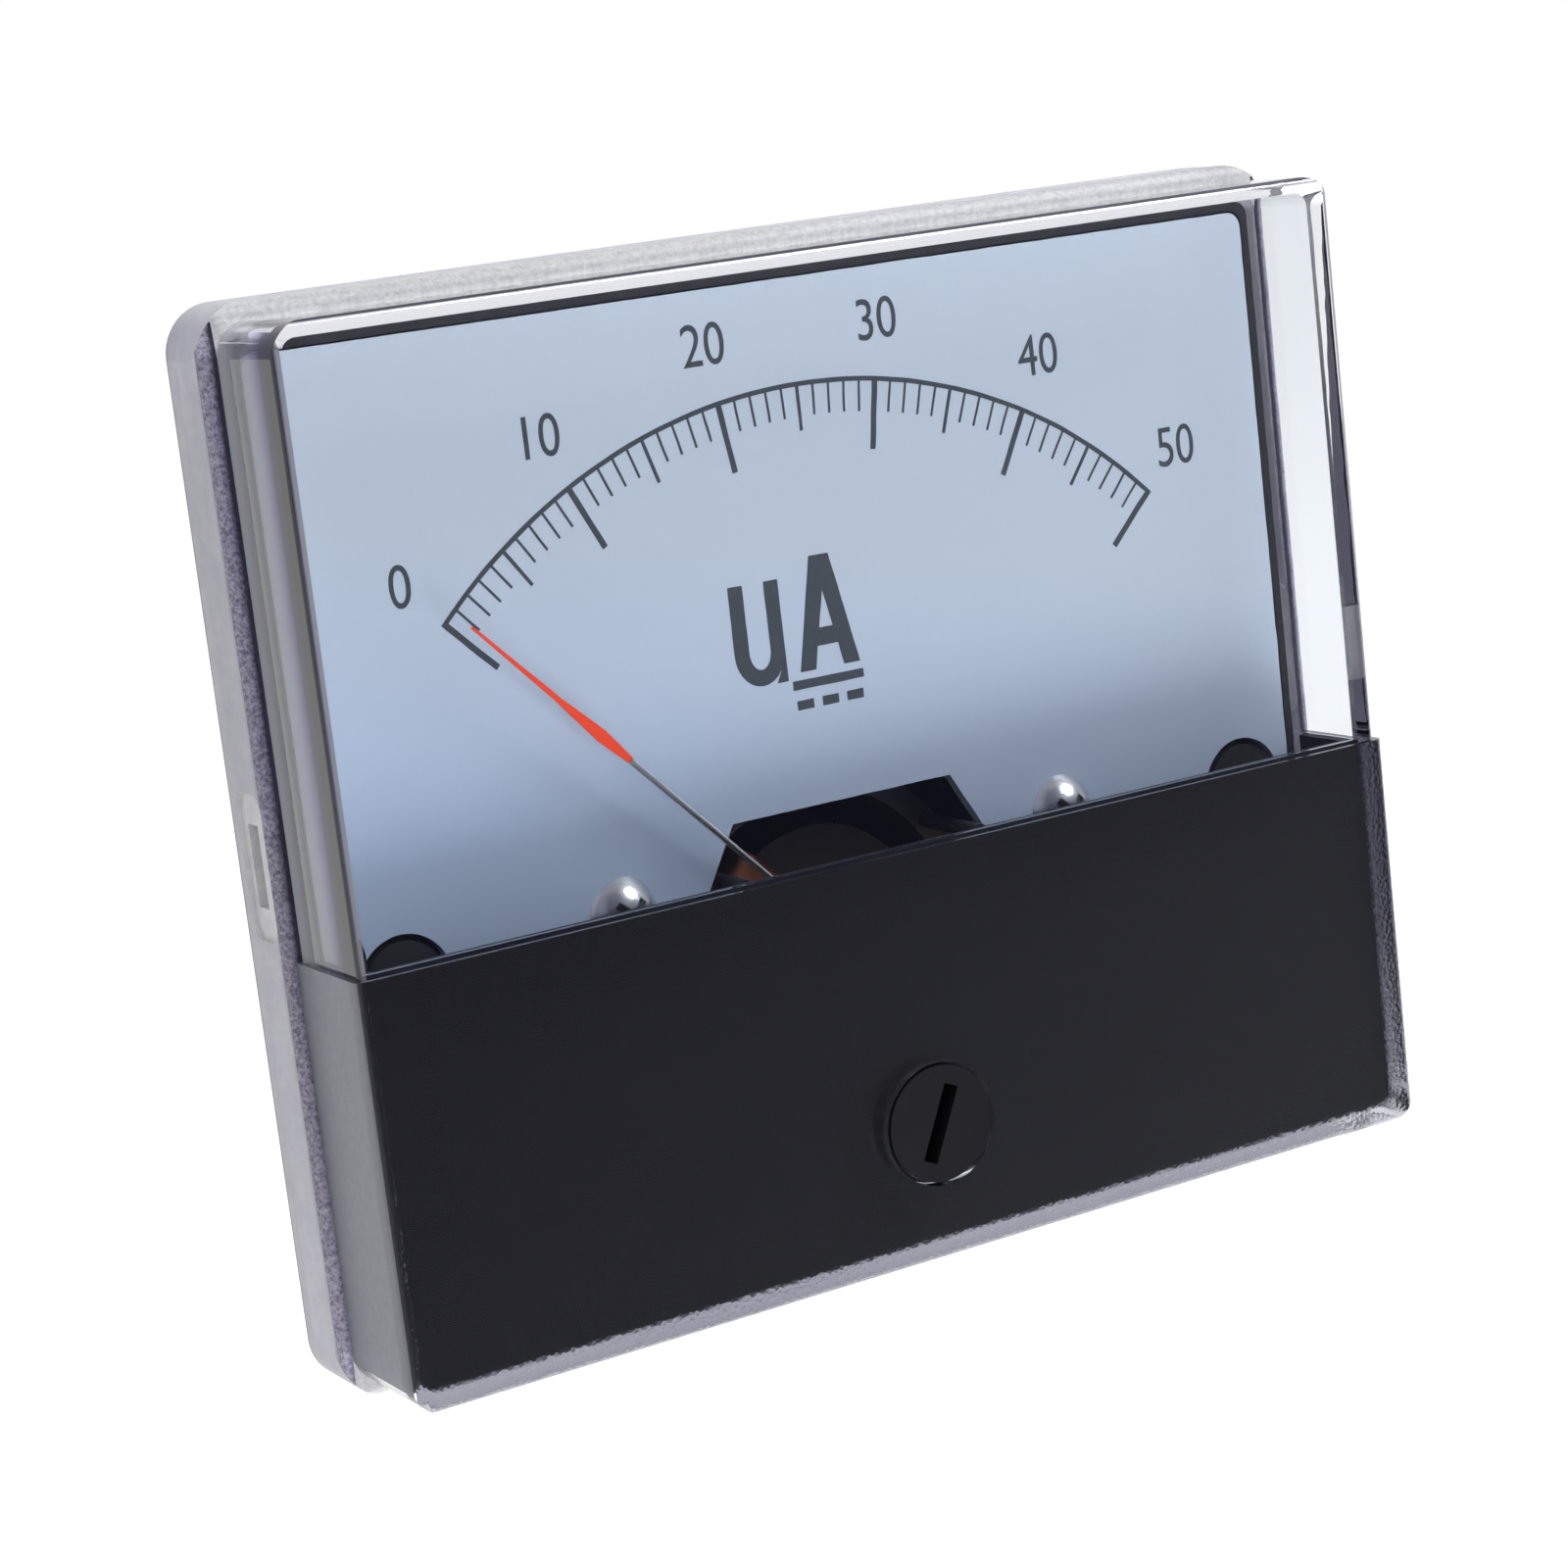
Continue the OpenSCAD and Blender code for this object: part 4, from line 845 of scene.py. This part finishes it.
def studio():
    """White background; gloss and clear plastic also see the dim side of the studio in front of the meter."""
    world = bpy.data.worlds.new("world")
    bpy.context.scene.world = world
    world.use_nodes = True
    nodes, links = world.node_tree.nodes, world.node_tree.links

    def math_node(operation, first, second):
        node = nodes.new("ShaderNodeMath")
        node.operation = operation
        for value, socket in zip((first, second), node.inputs):
            if isinstance(value, float):
                socket.default_value = value
            else:
                links.new(value, socket)
        return node.outputs[0]

    light = nodes["Background"]
    light.inputs["Color"].default_value = (1, 1, 1, 1)
    light.inputs["Strength"].default_value = SKY_LIGHT
    direction = nodes.new("ShaderNodeTexCoord")

    def shaded(color, toward, low, high, shade):
        """Blends a colour into a shade round a direction."""
        dot = nodes.new("ShaderNodeVectorMath")
        dot.operation = "DOT_PRODUCT"
        dot.inputs[1].default_value = toward
        links.new(direction.outputs["Generated"], dot.inputs[0])
        share = nodes.new("ShaderNodeMapRange")
        share.inputs["From Min"].default_value = low
        share.inputs["From Max"].default_value = high
        links.new(dot.outputs["Value"], share.inputs["Value"])
        blend = nodes.new("ShaderNodeMix")
        blend.data_type = "RGBA"
        blend.inputs["B"].default_value = shade
        links.new(share.outputs["Result"], blend.inputs["Factor"])
        if isinstance(color, tuple):
            blend.inputs["A"].default_value = color
        else:
            links.new(color, blend.inputs["A"])
        return blend.outputs["Result"]

    around = shaded(STUDIO_PALE, STUDIO_LEFT, 0.1, 0.75, STUDIO_SHADE)
    around = shaded(around, STUDIO_DARK, -0.1, 0.7, STUDIO_DIM)
    rays = nodes.new("ShaderNodeLightPath")
    camera_ray = rays.outputs["Is Camera Ray"]
    white = nodes.new("ShaderNodeMix")
    white.data_type = "RGBA"
    white.inputs["B"].default_value = (1, 1, 1, 1)
    links.new(camera_ray, white.inputs["Factor"])
    links.new(around, white.inputs["A"])
    seen = nodes.new("ShaderNodeBackground")
    links.new(white.outputs["Result"], seen.inputs["Color"])
    visible = math_node("MAXIMUM", camera_ray,
                        math_node("MAXIMUM", rays.outputs["Is Glossy Ray"], rays.outputs["Is Transmission Ray"]))
    visible = math_node("MULTIPLY", visible, math_node("LESS_THAN", rays.outputs["Diffuse Depth"], 0.5))
    mix = nodes.new("ShaderNodeMixShader")
    links.new(visible, mix.inputs["Fac"])
    links.new(light.outputs["Background"], mix.inputs[1])
    links.new(seen.outputs["Background"], mix.inputs[2])
    links.new(mix.outputs["Shader"], nodes["World Output"].inputs["Surface"])


def lamp(name, place, size, power, mirrored=True):
    """Round soft lamp that points at the meter. Gloss shows it only where it is mirrored."""
    data = bpy.data.lights.new(name, "AREA")
    data.shape = "DISK"
    data.size = size
    data.energy = power
    holder = bpy.data.objects.new(name, data)
    holder.location = place
    holder.rotation_euler = (-Vector(place)).to_track_quat("-Z", "Y").to_euler()
    holder.visible_glossy = mirrored
    holder.visible_transmission = mirrored
    bpy.context.scene.collection.objects.link(holder)


floor()
studio()
lamp("key", (0.45, -0.4, 0.6), 0.35, 4.2)
lamp("table", (0.25, -0.5, -0.42), 0.4, 4.2, mirrored=False)

bpy.context.scene.view_settings.view_transform = "Standard"
